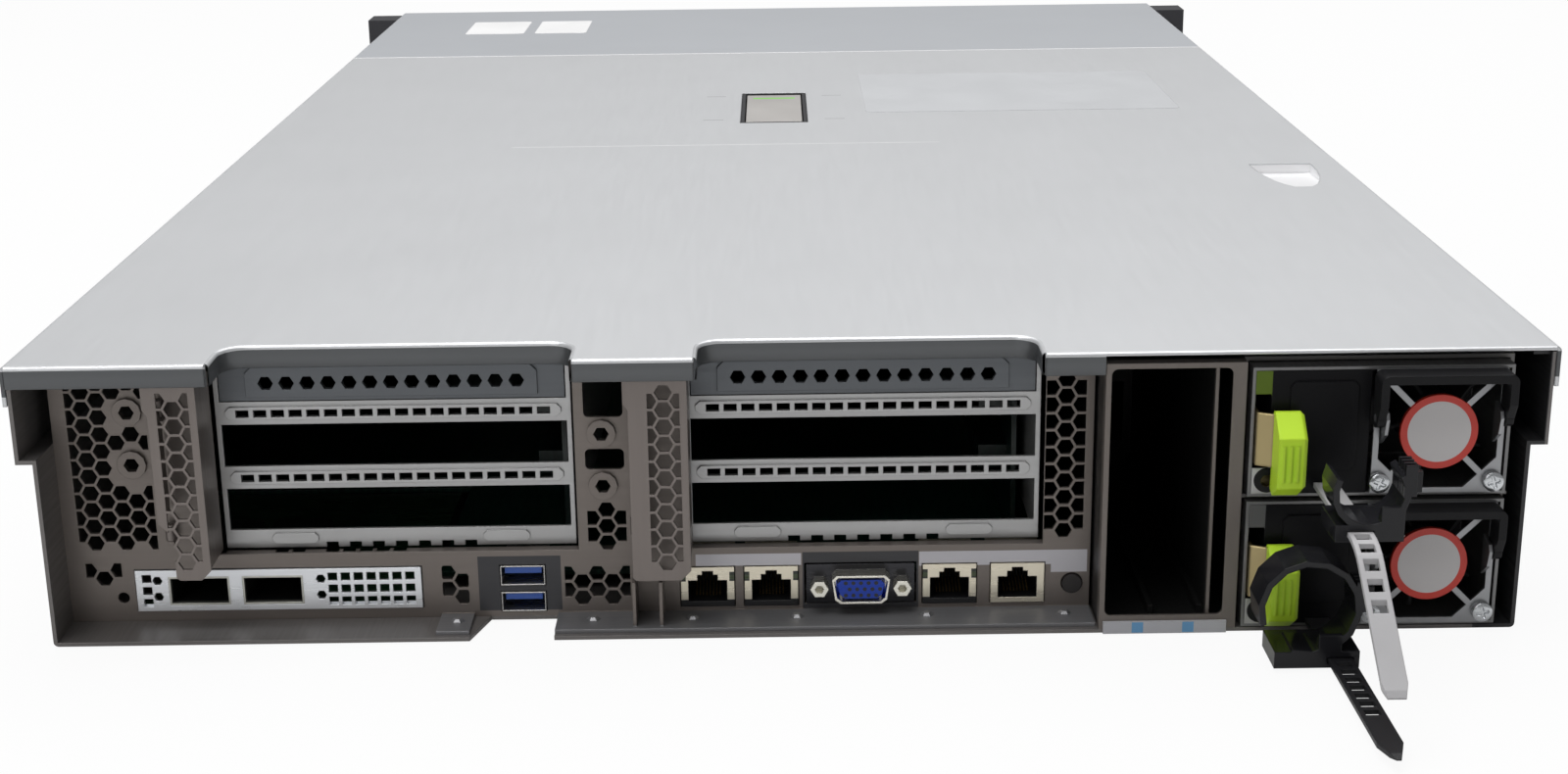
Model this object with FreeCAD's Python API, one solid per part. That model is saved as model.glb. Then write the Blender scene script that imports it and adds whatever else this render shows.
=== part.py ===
"""A 2u rack server: chassis, covers, power supplies, cards, fans, drives and board.

Frame: origin at the centre of the underside, X to the right and Y to the front as
seen from the rear, Z up. The rear edge of the chassis lies at Y = -length / 2.
"""
import FreeCAD, Part
import math
import os

# Chassis and cover
width = 448.0              # over the side flanges of the covers
height = 87.1              # underside to the top of the covers
length = 737.0             # rear edge to the front edge of the front cover
sheet = 1.2                # steel of the chassis, cages and covers
lower_width = 435.0        # chassis below the step in its side walls
step_height = 57.4         # underside to the step
lip = 6.0                  # inward lip along the top of each side wall
seat = 0.3                 # gap between pieces that come apart
front_cover_length = 173.0
cover_flange = 12.0        # side flange of the covers
rear_flange = 6.7          # rear flange of the cover
floor_front = 2.0          # front edge of the cover past the chassis floor
bend = 1.5                 # outer radius of the bent edges of the covers
rail_stud_depths = (168.5, 568.5)
rail_stud_z = 36.0
rail_stud_radius = 3.2
rail_stud_reach = 6.0

# Cover details
notch_depth = 19.0
notch_radius = 8.0
notch_flange = 5.5         # turned down along the front edge of each notch
notch_left = (-165.0, -60.0)
notch_right = (-25.0, 76.0)
scoop_x = (186.0, 213.0)
scoop_depth = (215.0, 262.0)
scoop_drop = 5.0
scoop_land = 8.0           # level ground at the deep end of the scoop
latch_x = (-16.5, 13.5)
latch_depth = (364.0, 440.0)
latch_drop = 10.0
latch_wall = 1.6
lever_thickness = 2.4
lever_pin_radius = 1.5
pin_clearance = 0.05       # radial clearance of each pin in its bore

# Rear panel
panel_depth = 16.0         # rear edge to the rear panel
panel_right = 92.8
band_top = 21.0            # top of the band that holds the ports
rivet_x = (-98.5, -57.5, -27.5, 3.9, 43.0, 84.5)
rivet_depth = 10.0
vent_pitch = 5.3
vent_flats = 4.5
corner_hole = (-200.2, 8.8)
corner_hole_radius = 1.8
band_window_x = -153.7
band_window_pitch = 5.1
boss_radius = 4.4
boss_hole = 2.0
boss_pitch = 16.4
bosses_left = (-193.4, 51.7)
bosses_centre = (-53.5, 43.1)

# Riser cages and slots
cage_depth = 20.5          # rear edge to the slotted bars
cage_width = 106.0
cage_left_x = (-168.6, -28.6)
cage_bottom = 22.8
cage_side = 1.4            # frame beside the slots
slot_below_top = 11.26     # centre of the highest slot to the top of the covers
slot_height = 13.2
slot_first = 35.2          # underside to the centre of the lowest slot
ledge_windows = 7
ledge_window_pitch = 7.0
bar_emboss = 100.0
bar_holes = 18
bar_hole = (3.9, 2.3)
bar_hole_pitch = 5.28
emboss = 0.8
cage_length = 190.0
blank_holes = 13
blank_hole_pitch = 6.2

# Card retainers
retainer_depth = 3.0
retainer_left_x = (-185.2, -169.4)
retainer_right_x = (-46.0, -27.3)
retainer_bottoms = (19.4, 17.3)
retainer_below_top = 7.5
retainer_sheet = 1.0
retainer_vents = (11.6, 2.2)    # field of holes, inwards from the free edge
retainer_return = 15.8     # wall along the free edge, back to the cage
retainer_pin_radius = 0.8
retainer_barrel = 1.55
retainer_axis_depth = 13.6
retainer_axis_x = 1.9      # left edge to the hinge axis
retainer_hinge_z = (27.0, 66.0)
retainer_barrel_length = 5.0

# Ports, as X of the centre and Z of the bottom
network_x = (-196.0, -109.6)
network_z = (4.6, 17.7)
module_x = (-176.9, -154.6)
module_size = (18.4, 9.2)
module_z = 6.4
module_length = 48.0
lamp_hole_x = (-189.4, -140.0)
lamp_hole_z = (9.2, 14.4)
bracket_hole_pitch = 3.9
card_length = 96.0
port_wall = 0.6
usb_x = -78.9
usb_size = (13.4, 6.2)
usb_z = (2.9, 11.4)
usb_length = 17.0
jack_x = (-23.0, -3.7, 50.3, 70.9)
jack_size = (16.2, 12.6)
jack_z = 3.7
jack_length = 21.0
vga_x = 23.3
vga_z = 10.6
vga_screw_pitch = 24.99
id_x = 87.4
id_z = 9.6
id_radius = 3.0
id_travel = 1.5

# Rear drive bay
bay_x = (93.6, 134.2)
bay_length = 150.0
bay_wall = 1.0
bay_divider_x = 125.6
bay_mouth_z = 5.0
bay_below_top = 5.1

# Power supplies
psu_x = (135.8, 211.2)
psu_margin = 8.3           # left over from the height by the two power supplies
psu_length = 185.0
psu_sheet = 1.0
psu_shelf = 1.0
psu_pocket = 34.0
inlet_split_x = 170.2      # right side of the inlet module
inlet_left_x = 141.4
fan_centre_x = 190.2
inlet_centre = (156.6, 24.9)
inlet_recess = (16.5, 24.0)
inlet_depth = 20.0
lamp_radius = 3.7
guard_sheet = 1.0
disc_radius = 11.25
psu_fan_radius = 16.4
psu_hub_radius = 9.0
handle_x = (170.6, 209.8)
handle_reach = 9.0
handle_bar = 2.5
handle_arm = 2.4
handle_pivot = (-4.0, 25.0)
handle_pin_radius = 1.2
tab_x = (141.6, 150.0)
tab_z = (2.5, 27.5)
tab_reach = 12.0
tab_ribs = 3
leaf = 0.8
latch_pivot_depth = 30.0
strap_width = 7.0
strap_rungs = 7
strap_thickness = 1.4
strap_length = 92.0
strap_x = 158.4
strap_straight = 42.0      # module to the start of the upper strap's bend
strap_droop = 37.0         # angle of the upper strap's bend
strap_bend_radius = 20.0
clamp_starts = {"upper": 25.0, "lower": 13.5}
clamp_depth = 16.0
clamp_radius = {"upper": 9.0, "lower": 13.0}
clamp_arc = {"upper": (-205, 30), "lower": (-110, 200)}   # ends of the loop, in degrees
clamp_lean = {"upper": 2.6, "lower": -9.4}
clamp_wall = 1.8
clamp_teeth = 4

# Board, processors and memory
standoff = 4.8
standoff_radius = 3.2
board_thickness = 1.6
board_x = (-208.0, 208.0)
board_rear = 37.0
board_gap = 24.0           # front edge of the board to the fans
processor_x = (-102.0, 102.0)
heatsink_size = (78.0, 108.0, 62.0)
heatsink_gap = 168.0       # rear face of the coolers to the board's front edge
fin = 1.0
fin_count = 9
memory_pitch = 8.2
memory_size = (1.4, 133.0, 27.0)
memory_lead = 13.0         # memory past the rear face of the coolers
baffle_below_top = 6.1
baffle_low = 47.0
baffle_reach = 207.0
baffle_wall = 2.0
baffle_margin = (5.0, 8.0)
controller_gap = 15.0      # controller to the memory behind it
controller_length = 80.0
controller_top = 70.0
controller_offset = 7.0    # from the side wall
controller_fins = 6
memory_per_side = 6
socket_height = 5.0

# Fans
fan_count = 6
fan_pitch = 68.0
fan_size = 60.0
fan_length = 38.0
fan_gap = 54.0             # rear face of the fans to the seam of the covers
fan_bore = 28.0
fan_blade_radius = 26.0
fan_hub_radius = 14.0
fan_shaft_radius = 2.0
blade_pitch = 22.0
fan_floor = 4.0

# Front drives
drive_columns = 4
drive_rows = 3
drive_pitch_x = 107.2
drive_margin = 5.5         # left over from the height by the rows of drives
carrier_gap = 1.0
carrier_size = (105.4, 150.0)
bezel_depth = 14.0
lever_pin = 1.2
drive_floor = 2.6
drive_setback = 4.0
backplane_gap = 9.0
window_x = (-6.0, 40.0)
plug_x = (-46.0, -12.0)
plug_z = (4.0, 10.0)
plug_length = 6.4

# Rack ears
ear_reach = 17.3           # each ear past the side of the covers
ear_setback = 23.0         # front edge to the ears' mounting plane
ear_sheet = 2.0
ear_length = 46.0
latch_height = 62.0
ear_hole_z = 20.0
button_radius = 4.5
button_travel = 1.2
button_below_top = 13.1
backplane_below_top = 7.1

slot_pitch = (height - slot_below_top - slot_first) / 2
retainer_top = height - retainer_below_top
bay_z = (bay_mouth_z, height - bay_below_top)
psu_height = (height - psu_margin) / 2
drive_pitch_z = (height - drive_margin) / drive_rows
carrier_height = drive_pitch_z - carrier_gap
button_z = height - button_below_top
lever_pivot = (latch_depth[0] + 8.0, height - 4.2)
cover_split = length - front_cover_length
drive_front = length - drive_setback
backplane_depth = drive_front - carrier_size[1] - backplane_gap
fan_depth = cover_split - fan_gap
board_depth = (board_rear, fan_depth - board_gap)
heatsink_depth = board_depth[1] - heatsink_gap
memory_depth = heatsink_depth - memory_lead
ear_span = width + 2 * ear_reach
ear_depth = length - ear_setback
flange_end = bay_x[0] - seat   # the cover's rear flange stops short of the drive bay
half = width / 2
lower_half = lower_width / 2
wall_top = height - sheet - seat
upper_half = half - sheet - seat
inner_half = lower_half - sheet
board_bottom = sheet + standoff
board_top = board_bottom + board_thickness
psu_pitch = psu_height + psu_shelf + 2 * seat
psu_lower_z = sheet + seat
psu_upper_z = psu_lower_z + psu_pitch


def vec(x, y, z):
    return FreeCAD.Vector(x, y, z)


def at(depth):
    """Y of a plane that lies depth in front of the rear edge."""
    return depth - length / 2


def box(x, y, z):
    """A block between the pairs of limits x, y and z, with y as depths from the rear edge."""
    return Part.makeBox(x[1] - x[0], y[1] - y[0], z[1] - z[0], vec(x[0], at(y[0]), z[0]))


def rod(centre, axis, radius, long):
    """A cylinder that starts at centre (x, depth, z) and runs along axis."""
    x, depth, z = centre
    return Part.makeCylinder(radius, long, vec(x, at(depth), z), vec(*axis))


def extrude(corners, way):
    return Part.Face(Part.makePolygon(corners + corners[:1])).extrude(way)


def along_x(outline, x):
    """The (depth, z) outline run from x[0] to x[1]."""
    return extrude([vec(x[0], at(d), z) for d, z in outline], vec(x[1] - x[0], 0, 0))


def along_y(outline, y):
    """The (x, z) outline run between the depths y[0] and y[1]."""
    return extrude([vec(x, at(y[0]), z) for x, z in outline], vec(0, y[1] - y[0], 0))


def along_z(outline, z):
    """The (x, depth) outline run from z[0] to z[1]."""
    return extrude([vec(x, at(d), z[0]) for x, d in outline], vec(0, 0, z[1] - z[0]))


def rounded(shape, axis, radius, keep=lambda point: True):
    """The shape with its straight edges along axis (0, 1 or 2) rounded where keep(middle) holds."""
    chosen = []
    for edge in shape.Edges:
        run = edge.Vertexes[-1].Point - edge.Vertexes[0].Point
        if run.Length > 1e-6 and abs(abs(run[axis]) - run.Length) < 1e-6 and keep(edge.CenterOfMass):
            chosen.append(edge)
    return shape.makeFillet(radius, chosen)


def mirrored(shape):
    return shape.mirror(vec(0, 0, 0), vec(1, 0, 0))


def join(shapes):
    return shapes[0].fuse(shapes[1:]).removeSplitter()


def ring(a, b, radius, sides):
    """Corners of a regular outline round the point (a, b)."""
    turns = [2 * math.pi * k / sides for k in range(sides)]
    return [(a + radius * math.cos(t), b + radius * math.sin(t)) for t in turns]


def cut_corners(x, z, c):
    """Outline of the rectangle x by z with its corners cut by c."""
    (x0, x1), (z0, z1) = x, z
    return [(x0 + c, z0), (x1 - c, z0), (x1, z0 + c), (x1, z1 - c), (x1 - c, z1), (x0 + c, z1), (x0, z1 - c),
            (x0, z0 + c)]


def disc(x, z, radius, y, sides=12):
    """A faceted disc along Y for a small or hidden round piece."""
    return along_y(ring(x, z, radius, sides), y)


def hexagon(x, z, flats, y):
    """A hexagonal bar along Y with flats at its top and bottom."""
    return along_y(ring(x, z, flats / math.sqrt(3), 6), y)


def vent(x, z, y, around=(), clear=0.0):
    """Hexagonal holes in staggered columns, cut off at the field's border and kept clear of
    the points listed in around."""
    column = vent_pitch * math.sqrt(3) / 2
    columns = int((x[1] - x[0]) / column) + 1
    rows = int((z[1] - z[0]) / vent_pitch) + 2
    start = (x[0] + x[1] - (columns - 1) * column) / 2
    holes = []
    for i in range(columns):
        for k in range(rows):
            hx = start + i * column
            hz = z[0] + (k + 0.5 * (i % 2)) * vent_pitch
            if any(math.hypot(hx - ax, hz - az) < clear for ax, az in around):
                continue
            if z[0] + vent_pitch / 4 < hz < z[1] - vent_pitch / 4:
                holes.append(hexagon(hx, hz, vent_flats, y))
    return Part.Compound(holes).common(box(x, y, z))


# ---------------------------------------------------------------- chassis and covers

def side_profile():
    """Right half of the chassis section: floor, lower wall, step, upper wall and lip."""
    top = wall_top
    return [
        (0, 0), (lower_half, 0), (lower_half, step_height), (upper_half, step_height),
        (upper_half, top), (upper_half - lip, top), (upper_half - lip, top - sheet),
        (upper_half - sheet, top - sheet), (upper_half - sheet, step_height + sheet),
        (inner_half, step_height + sheet), (inner_half, sheet), (0, sheet),
    ]


def chassis_base():
    """Folded tray: floor and stepped side walls, with the standoffs and the rail studs."""
    half_tray = along_y(side_profile(), (0, length - floor_front))
    half_tray = rounded(half_tray, 1, bend, lambda p: p.x > lower_half - 0.1 and p.z < 0.1)
    tray = half_tray.fuse(mirrored(half_tray)).removeSplitter()
    notch = along_z([(-94, -1), (-68.5, -1), (-68.5, panel_depth), (-89, panel_depth)], (-1, sheet + 1))
    relief = box((-upper_half + sheet, upper_half - sheet), (-1, sheet + seat),
                 (wall_top - sheet - 1, height))
    studs = []
    for x, d in ((-90, 50), (84, 50), (-60, 250), (60, 250), (-196, 474), (196, 474)):
        studs.append(along_z(ring(x, d, standoff_radius, 6), (sheet, board_bottom)))
    for d in rail_stud_depths:
        studs.append(rod((inner_half, d, rail_stud_z), (1, 0, 0), rail_stud_radius, rail_stud_reach))
        studs.append(rod((-inner_half, d, rail_stud_z), (-1, 0, 0), rail_stud_radius, rail_stud_reach))
    return join([tray.cut([notch, relief])] + studs)


def cover_section(y):
    """The inverted tray section of both covers."""
    outer = box((-half, half), y, (height - cover_flange, height))
    outer = rounded(outer, 1, bend, lambda p: p.z > height - 1)
    return outer.cut(box((-half + sheet, half - sheet), y, (0, height - sheet)))


def scoop_outline(grow):
    """Half an ellipse with its straight side to the front, grown all round by grow."""
    (x0, x1), (d0, d1) = scoop_x, scoop_depth
    turns = [math.pi * k / 12 for k in range(13)]
    return [((x0 + x1) / 2 + ((x1 - x0) / 2 + grow) * math.cos(t),
             d1 + grow - (d1 - d0 + 2 * grow) * math.sin(t))
            for t in turns]


def scoop_pan():
    """Thumb scoop: its floor slopes down from the round side to the straight side."""
    (d0, d1), deep, top = scoop_depth, height - scoop_drop, height - sheet
    body = along_x([(d0, top), (d1 - scoop_land, deep), (d1, deep), (d1, height), (d0, height)], scoop_x)
    hollow = along_x([(d0, height), (d1 - scoop_land, deep + sheet), (d1, deep + sheet), (d1, height + 1),
                      (d0, height + 1)], scoop_x)
    return body.common(along_z(scoop_outline(0), (0, height))).cut(
        hollow.common(along_z(scoop_outline(-sheet), (0, height + 2))))


def top_cover():
    """The lift-off cover: bent flanges, two card notches, a thumb scoop and the latch opening."""
    cover = cover_section((0, cover_split - seat))
    tools = []
    for x in (notch_left, notch_right):
        notch = box(x, (-notch_radius, notch_depth), (height - cover_flange, height + 1))
        tools.append(rounded(notch, 2, notch_radius))
    tools.append(box(latch_x, latch_depth, (height - sheet - 1, height + 1)))
    tools.append(along_z(scoop_outline(0), (0, height + 1)))
    flanges = [box((x0 + notch_radius, x1 - notch_radius), (notch_depth, notch_depth + sheet),
                   (height - sheet - notch_flange, height)) for x0, x1 in (notch_left, notch_right)]
    for x in ((-half + 3 * sheet, notch_left[0]), (notch_left[1], notch_right[0]),
              (notch_right[1], flange_end)):
        flanges.append(box(x, (0, sheet), (height - rear_flange, height - sheet)))
    return join([cover.cut(tools), scoop_pan()] + flanges)


def front_cover():
    """The fixed cover over the drives."""
    return cover_section((cover_split, length))


def latch_housing():
    """Recessed plastic tray in the cover, with a rim under the sheet and pivot holes."""
    x = (latch_x[0] + seat, latch_x[1] - seat)
    y = (latch_depth[0] + seat, latch_depth[1] - seat)
    bottom = height - latch_drop
    body = box(x, y, (bottom, height))
    rim = box((x[0] - 3, x[1] + 3), (y[0] - 3, y[1] + 3), (height - 2 * sheet, height - sheet))
    hollow = box((x[0] + latch_wall, x[1] - latch_wall), (y[0] + latch_wall, y[1] - latch_wall),
                 (bottom + latch_wall, height + 1))
    bore = rod((x[0] - 1, lever_pivot[0], lever_pivot[1]), (1, 0, 0), lever_pin_radius + pin_clearance,
               x[1] - x[0] + 2)
    return body.fuse(rim).cut([hollow, bore])


def cover_latch_lever():
    """Flat lever with a raised grip at its free end and two trunnions."""
    gap = latch_wall + 2 * seat
    x = (latch_x[0] + seat + gap, latch_x[1] - seat - gap)
    d0, z0 = lever_pivot
    d1 = latch_depth[1] - seat - gap
    top = height - 0.5
    plate = along_x([(d0 - 2.2, top - 1), (d0 - 2.2, z0 - 1.5), (d0, z0 - 2.2),
                     (d0 + 4, top - lever_thickness),
                     (d1 - 12, top - lever_thickness), (d1 - 8, top - 5), (d1 - 2, top - 5),
                     (d1, top - 3), (d1, top - 0.6), (d1 - 0.6, top), (d0 - 1.2, top)], x)
    pin = rod((x[0] - gap, d0, z0), (1, 0, 0), lever_pin_radius, x[1] - x[0] + 2 * gap)
    return plate.fuse(pin).removeSplitter()


# ---------------------------------------------------------------- rear panel and ports

def boss_points(base):
    return [(base[0], base[1]), (base[0], base[1] + boss_pitch)]


def retainer_axis(x):
    """X of the hinge axis of the card retainer with the limits x."""
    return x[0] + retainer_axis_x


def hinge_ears(x):
    """Two ears with upright pins that stand on the rear panel and carry a card retainer."""
    ax, ay = retainer_axis(x), retainer_axis_depth
    ears = []
    for z in retainer_hinge_z:
        ears.append(box((ax - 1, ax + 1), (ay - 1, panel_depth), (z, z + sheet)))
        ears.append(rod((ax, ay, z + sheet), (0, 0, 1), retainer_pin_radius, retainer_barrel_length))
    return ears


def rear_panel():
    """Vented panel with the port band, riser openings, screw bosses, retainer hinges and a riveted foot."""
    left = -inner_half
    y = (panel_depth, panel_depth + sheet)
    through = (panel_depth - 1, panel_depth + sheet + 1)
    top = wall_top - sheet - seat
    plate = box((left, panel_right), y, (sheet, top))
    cuts = [box((min(x - 1, flap[1] - retainer_sheet - 0.8), x + cage_width + 1), through,
                (cage_bottom - seat, top + 1))
            for x, flap in zip(cage_left_x, (retainer_left_x, retainer_right_x))]
    cuts.append(box((network_x[0] - seat, network_x[1] + seat), through,
                    (network_z[0] - seat, network_z[1] + seat)))
    cuts.extend(box((usb_x - usb_size[0] / 2 - seat, usb_x + usb_size[0] / 2 + seat), through,
                    (z - seat, z + usb_size[1] + seat)) for z in usb_z)
    cuts.extend(box((x - jack_size[0] / 2 - seat, x + jack_size[0] / 2 + seat), through,
                    (jack_z - seat, jack_z + jack_size[1] + seat)) for x in jack_x)
    cuts.append(box((vga_x - 17, vga_x + 17), through, (vga_z - 6.6, vga_z + 6.6)))
    cuts.append(rod((id_x, panel_depth - 1, id_z), (0, 1, 0), id_radius + seat, 4))
    left_bosses = boss_points(bosses_left)
    centre_bosses = boss_points(bosses_centre)
    hole_clear = boss_radius + vent_flats / 2
    centre_x = (cage_left_x[0] + cage_width + 4, retainer_right_x[0] - 1)
    cuts.append(vent((left + 4.6, retainer_left_x[0] - 3), (24, top - 3), through, left_bosses, hole_clear))
    cuts.append(vent(centre_x, (22, bosses_centre[1] - 4), through))
    cuts.append(vent((cage_left_x[1] + cage_width + 1.2, panel_right - 2.4), (24, top - 8), through))
    cuts.append(vent((-66.2, -46.4), (4.2, 18.4), through))
    cuts.append(vent((-103.4, -95.4), (5, 18.4), through))
    cuts.append(vent((left + 5.5, network_x[0] - 4), (12.5, 21), through))
    cuts.append(disc(corner_hole[0], corner_hole[1], corner_hole_radius, through))
    for k in (0, 1, 3, 4, 5, 6, 7):
        x = band_window_x + band_window_pitch * k
        cuts.append(box((x, x + 3.9), (panel_depth + sheet + 0.5, cage_depth),
                        (band_top - 1, band_top + 2 * sheet)))
    for z in ((bosses_centre[1] + 5, bosses_centre[1] + boss_pitch - 5),
              (bosses_centre[1] + boss_pitch + 5, top - 3)):
        cuts.append(rounded(box(centre_x, through, z), 1, 1.5))
    for x, z in left_bosses + centre_bosses:
        cuts.append(hexagon(x, z, 2 * boss_hole, (panel_depth - 4, panel_depth + 4)))
    band = box((cage_left_x[0], panel_right), (panel_depth, cage_depth - seat), (band_top, band_top + sheet))
    foot = box((-104, panel_right), (2, panel_depth), (sheet, 2 * sheet))
    foot = foot.cut(box((-94, -68.5), (0, panel_depth), (0, 5)))
    bosses = [disc(x, z, boss_radius, (panel_depth - 1.2, panel_depth))
              for x, z in left_bosses + centre_bosses]
    post_x = retainer_axis(retainer_right_x)
    posts = [box((x - 1, x), (retainer_depth + 1, panel_depth), (2 * sheet, retainer_bottoms[1] - 1))
             for x in (post_x, post_x + 8)]
    pieces = [plate, band, foot] + bosses + posts + hinge_ears(retainer_left_x) + hinge_ears(retainer_right_x)
    return join(pieces).cut(cuts)


def network_card():
    """Network card: board and a bright bracket with a grid of small square vents."""
    x, z = network_x, network_z
    bracket = box(x, (panel_depth - 0.6, panel_depth + 0.6), z)
    cuts = [box((m - module_size[0] / 2, m + module_size[0] / 2), (panel_depth - 2, panel_depth + 2),
                (module_z, module_z + module_size[1])) for m in module_x]
    for column in [x[0] + 3.4] + [x[1] - 3.4 - bracket_hole_pitch * k for k in range(7)]:
        for row in range(3):
            zc = (z[0] + z[1]) / 2 + bracket_hole_pitch * (row - 1)
            cuts.append(box((column - 1.4, column + 1.4), (panel_depth - 2, panel_depth + 2),
                            (zc - 1.3, zc + 1.3)))
    for m in lamp_hole_x:
        for zc in lamp_hole_z:
            cuts.append(hexagon(m, zc, 2.6, (panel_depth - 2, panel_depth + 2)))
    board = box((x[0] + 1, x[1] - 1), (panel_depth + 0.6, panel_depth + card_length),
                (module_z - board_thickness, module_z))
    return bracket.cut(cuts).fuse(board).removeSplitter()


def tube(x, y, z, wall):
    """A rectangular tube along Y that is open at the rear, with the limits of its inside."""
    outer = box((x[0] - wall, x[1] + wall), y, (z[0] - wall, z[1] + wall))
    return outer.cut(box(x, (y[0] - 1, y[1] - wall), z))


def module_cages():
    """Two plain cages for network modules, open at the rear."""
    cages = []
    for m in module_x:
        x = (m - module_size[0] / 2 + port_wall, m + module_size[0] / 2 - port_wall)
        z = (module_z + port_wall, module_z + module_size[1] - port_wall)
        cages.append(tube(x, (panel_depth - 0.6, panel_depth + module_length), z, port_wall))
    return Part.Compound(cages)


def usb_ports():
    """A stack of two sockets, each a shell with its tongue."""
    solids = []
    for z in usb_z:
        inside_x = (usb_x - usb_size[0] / 2 + port_wall / 2, usb_x + usb_size[0] / 2 - port_wall / 2)
        inside_z = (z + port_wall / 2, z + usb_size[1] - port_wall / 2)
        shell = tube(inside_x, (panel_depth - 0.4, panel_depth + usb_length), inside_z, port_wall / 2)
        tongue = box((usb_x - 5.6, usb_x + 5.6),
                     (panel_depth + 1.4, panel_depth + usb_length - port_wall / 2),
                     (z + 3.2, z + 5.1))
        solids.append(shell.fuse(tongue))
    gap_z = (usb_z[0] + usb_size[1], usb_z[1])
    spacer = box((usb_x - usb_size[0] / 2, usb_x + usb_size[0] / 2),
                 (panel_depth + sheet + seat, panel_depth + usb_length), gap_z)
    return solids[0].fuse([solids[1], spacer])


def rj45_jacks():
    """Four jacks, each a block with the stepped socket for plug and latch."""
    jacks = []
    for x in jack_x:
        body = box((x - jack_size[0] / 2, x + jack_size[0] / 2),
                   (panel_depth - 0.4, panel_depth + jack_length),
                   (jack_z, jack_z + jack_size[1]))
        z0 = jack_z + 1.6
        hole = along_y([(x - 5.9, z0), (x + 5.9, z0), (x + 5.9, z0 + 6.8), (x + 3.1, z0 + 6.8),
                        (x + 3.1, z0 + 8.6),
                        (x + 1.7, z0 + 8.6), (x + 1.7, z0 + 9.8), (x - 1.7, z0 + 9.8), (x - 1.7, z0 + 8.6),
                        (x - 3.1, z0 + 8.6), (x - 3.1, z0 + 6.8), (x - 5.9, z0 + 6.8)],
                       (panel_depth - 1, panel_depth + jack_length - 4))
        jacks.append(body.cut(hole))
    return Part.Compound(jacks)


def vga_profile(grow):
    """Half-taper outline of the video connector, wider at its top, grown all round."""
    w, n, h, c = 8.1 + grow, 6.9 + grow, 3.9 + grow, 1.3
    side = [(n - c, -h), (n + c / 4, c - h), (w, h - c), (w - c, h)]
    right = [(vga_x + x, vga_z + z) for x, z in side]
    return right + [(vga_x - x, vga_z + z) for x, z in side[::-1]]


def vga_port():
    """Video connector: flange, tapered shell round its insert and two hexagonal screw posts."""
    flange = box((vga_x - 16.4, vga_x + 16.4), (panel_depth - 0.4, panel_depth + 9),
                 (vga_z - 6.2, vga_z + 6.2))
    shell = along_y(vga_profile(0.6), (panel_depth - 6, panel_depth))
    insert_gap = along_y(vga_profile(0.0), (panel_depth - 7, panel_depth - 1))
    insert = along_y(vga_profile(-0.9), (panel_depth - 5.4, panel_depth))
    posts = []
    for side in (-1, 1):
        x = vga_x + side * vga_screw_pitch / 2
        post = hexagon(x, vga_z, 4.8, (panel_depth - 5.4, panel_depth))
        posts.append(post.cut(hexagon(x, vga_z, 2.4, (panel_depth - 6, panel_depth - 1))))
    return join([flange, shell.cut(insert_gap), insert] + posts)


def id_button():
    """Round push button with a collar behind the panel."""
    cap = rod((id_x, panel_depth - 1.0, id_z), (0, 1, 0), id_radius, 6)
    collar = along_y(ring(id_x, id_z, id_radius + 1.2, 6),
                     (panel_depth + sheet + seat, panel_depth + sheet + 1.5))
    return join([cap, collar])


def floor_rivets():
    """Domed rivets that hold the foot of the rear panel to the floor."""
    rivets = []
    for x in rivet_x:
        foot = [vec(px, at(d), 2 * sheet) for px, d in ring(x, rivet_depth, 2.2, 6)]
        crown = [vec(px, at(d), 2 * sheet + 0.9) for px, d in ring(x, rivet_depth, 1.2, 6)]
        rivets.append(Part.makeLoft([Part.makePolygon(foot + foot[:1]), Part.makePolygon(crown + crown[:1])],
                                    True, True))
    return Part.Compound(rivets)


# ---------------------------------------------------------------- riser cages

def slot_z(row):
    """The lower and upper edge of a card slot."""
    centre = slot_first + slot_pitch * row
    return (centre - slot_height / 2, centre + slot_height / 2)


def riser_cage(x0):
    """Cage round three card slots: slotted bars, lower ledge, top plate and side wall."""
    top = wall_top - sheet - seat
    x1 = x0 + cage_width
    middle = (x0 + x1) / 2
    y = (cage_depth, cage_depth + sheet)
    raised = (cage_depth - emboss, cage_depth)
    through = (cage_depth - 2, cage_depth + sheet + 1)
    wall = box((x0, x1), y, (cage_bottom, top))
    plate = box((x0, x1), (cage_depth, cage_length), (top - sheet, top))
    side = box((x1 - sheet, x1), (cage_depth, cage_length), (cage_bottom, top))
    opening_x = (x0 + cage_side, x1 - cage_side)
    cuts = [box(opening_x, through, slot_z(row)) for row in (0, 1)]
    cuts.append(box(opening_x, through, (slot_z(2)[0], top - sheet)))
    ridges = []
    for row in (0, 1):
        z = (slot_z(row)[1] + slot_z(row + 1)[0]) / 2
        ridges.append(along_y(cut_corners((middle - bar_emboss / 2, middle + bar_emboss / 2),
                                          (z - 2, z + 2), 1.3), raised))
        for k in range(bar_holes):
            x = middle + bar_hole_pitch * (k - (bar_holes - 1) / 2)
            cuts.append(box((x - bar_hole[0] / 2, x + bar_hole[0] / 2), through,
                            (z - bar_hole[1] / 2, z + bar_hole[1] / 2)))
    for k in range(ledge_windows):
        x = middle + ledge_window_pitch * (k - (ledge_windows - 1) / 2)
        cuts.append(box((x - 1.8, x + 1.8), through, (cage_bottom - 1, cage_bottom + 1.6)))
    for x in (x0 + 14, x1 - 28):
        ridges.append(along_y(cut_corners((x, x + 14), (cage_bottom + 1.4, cage_bottom + 4.8), 1.1), raised))
    return join([wall, plate, side] + ridges).cut(cuts)


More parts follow.
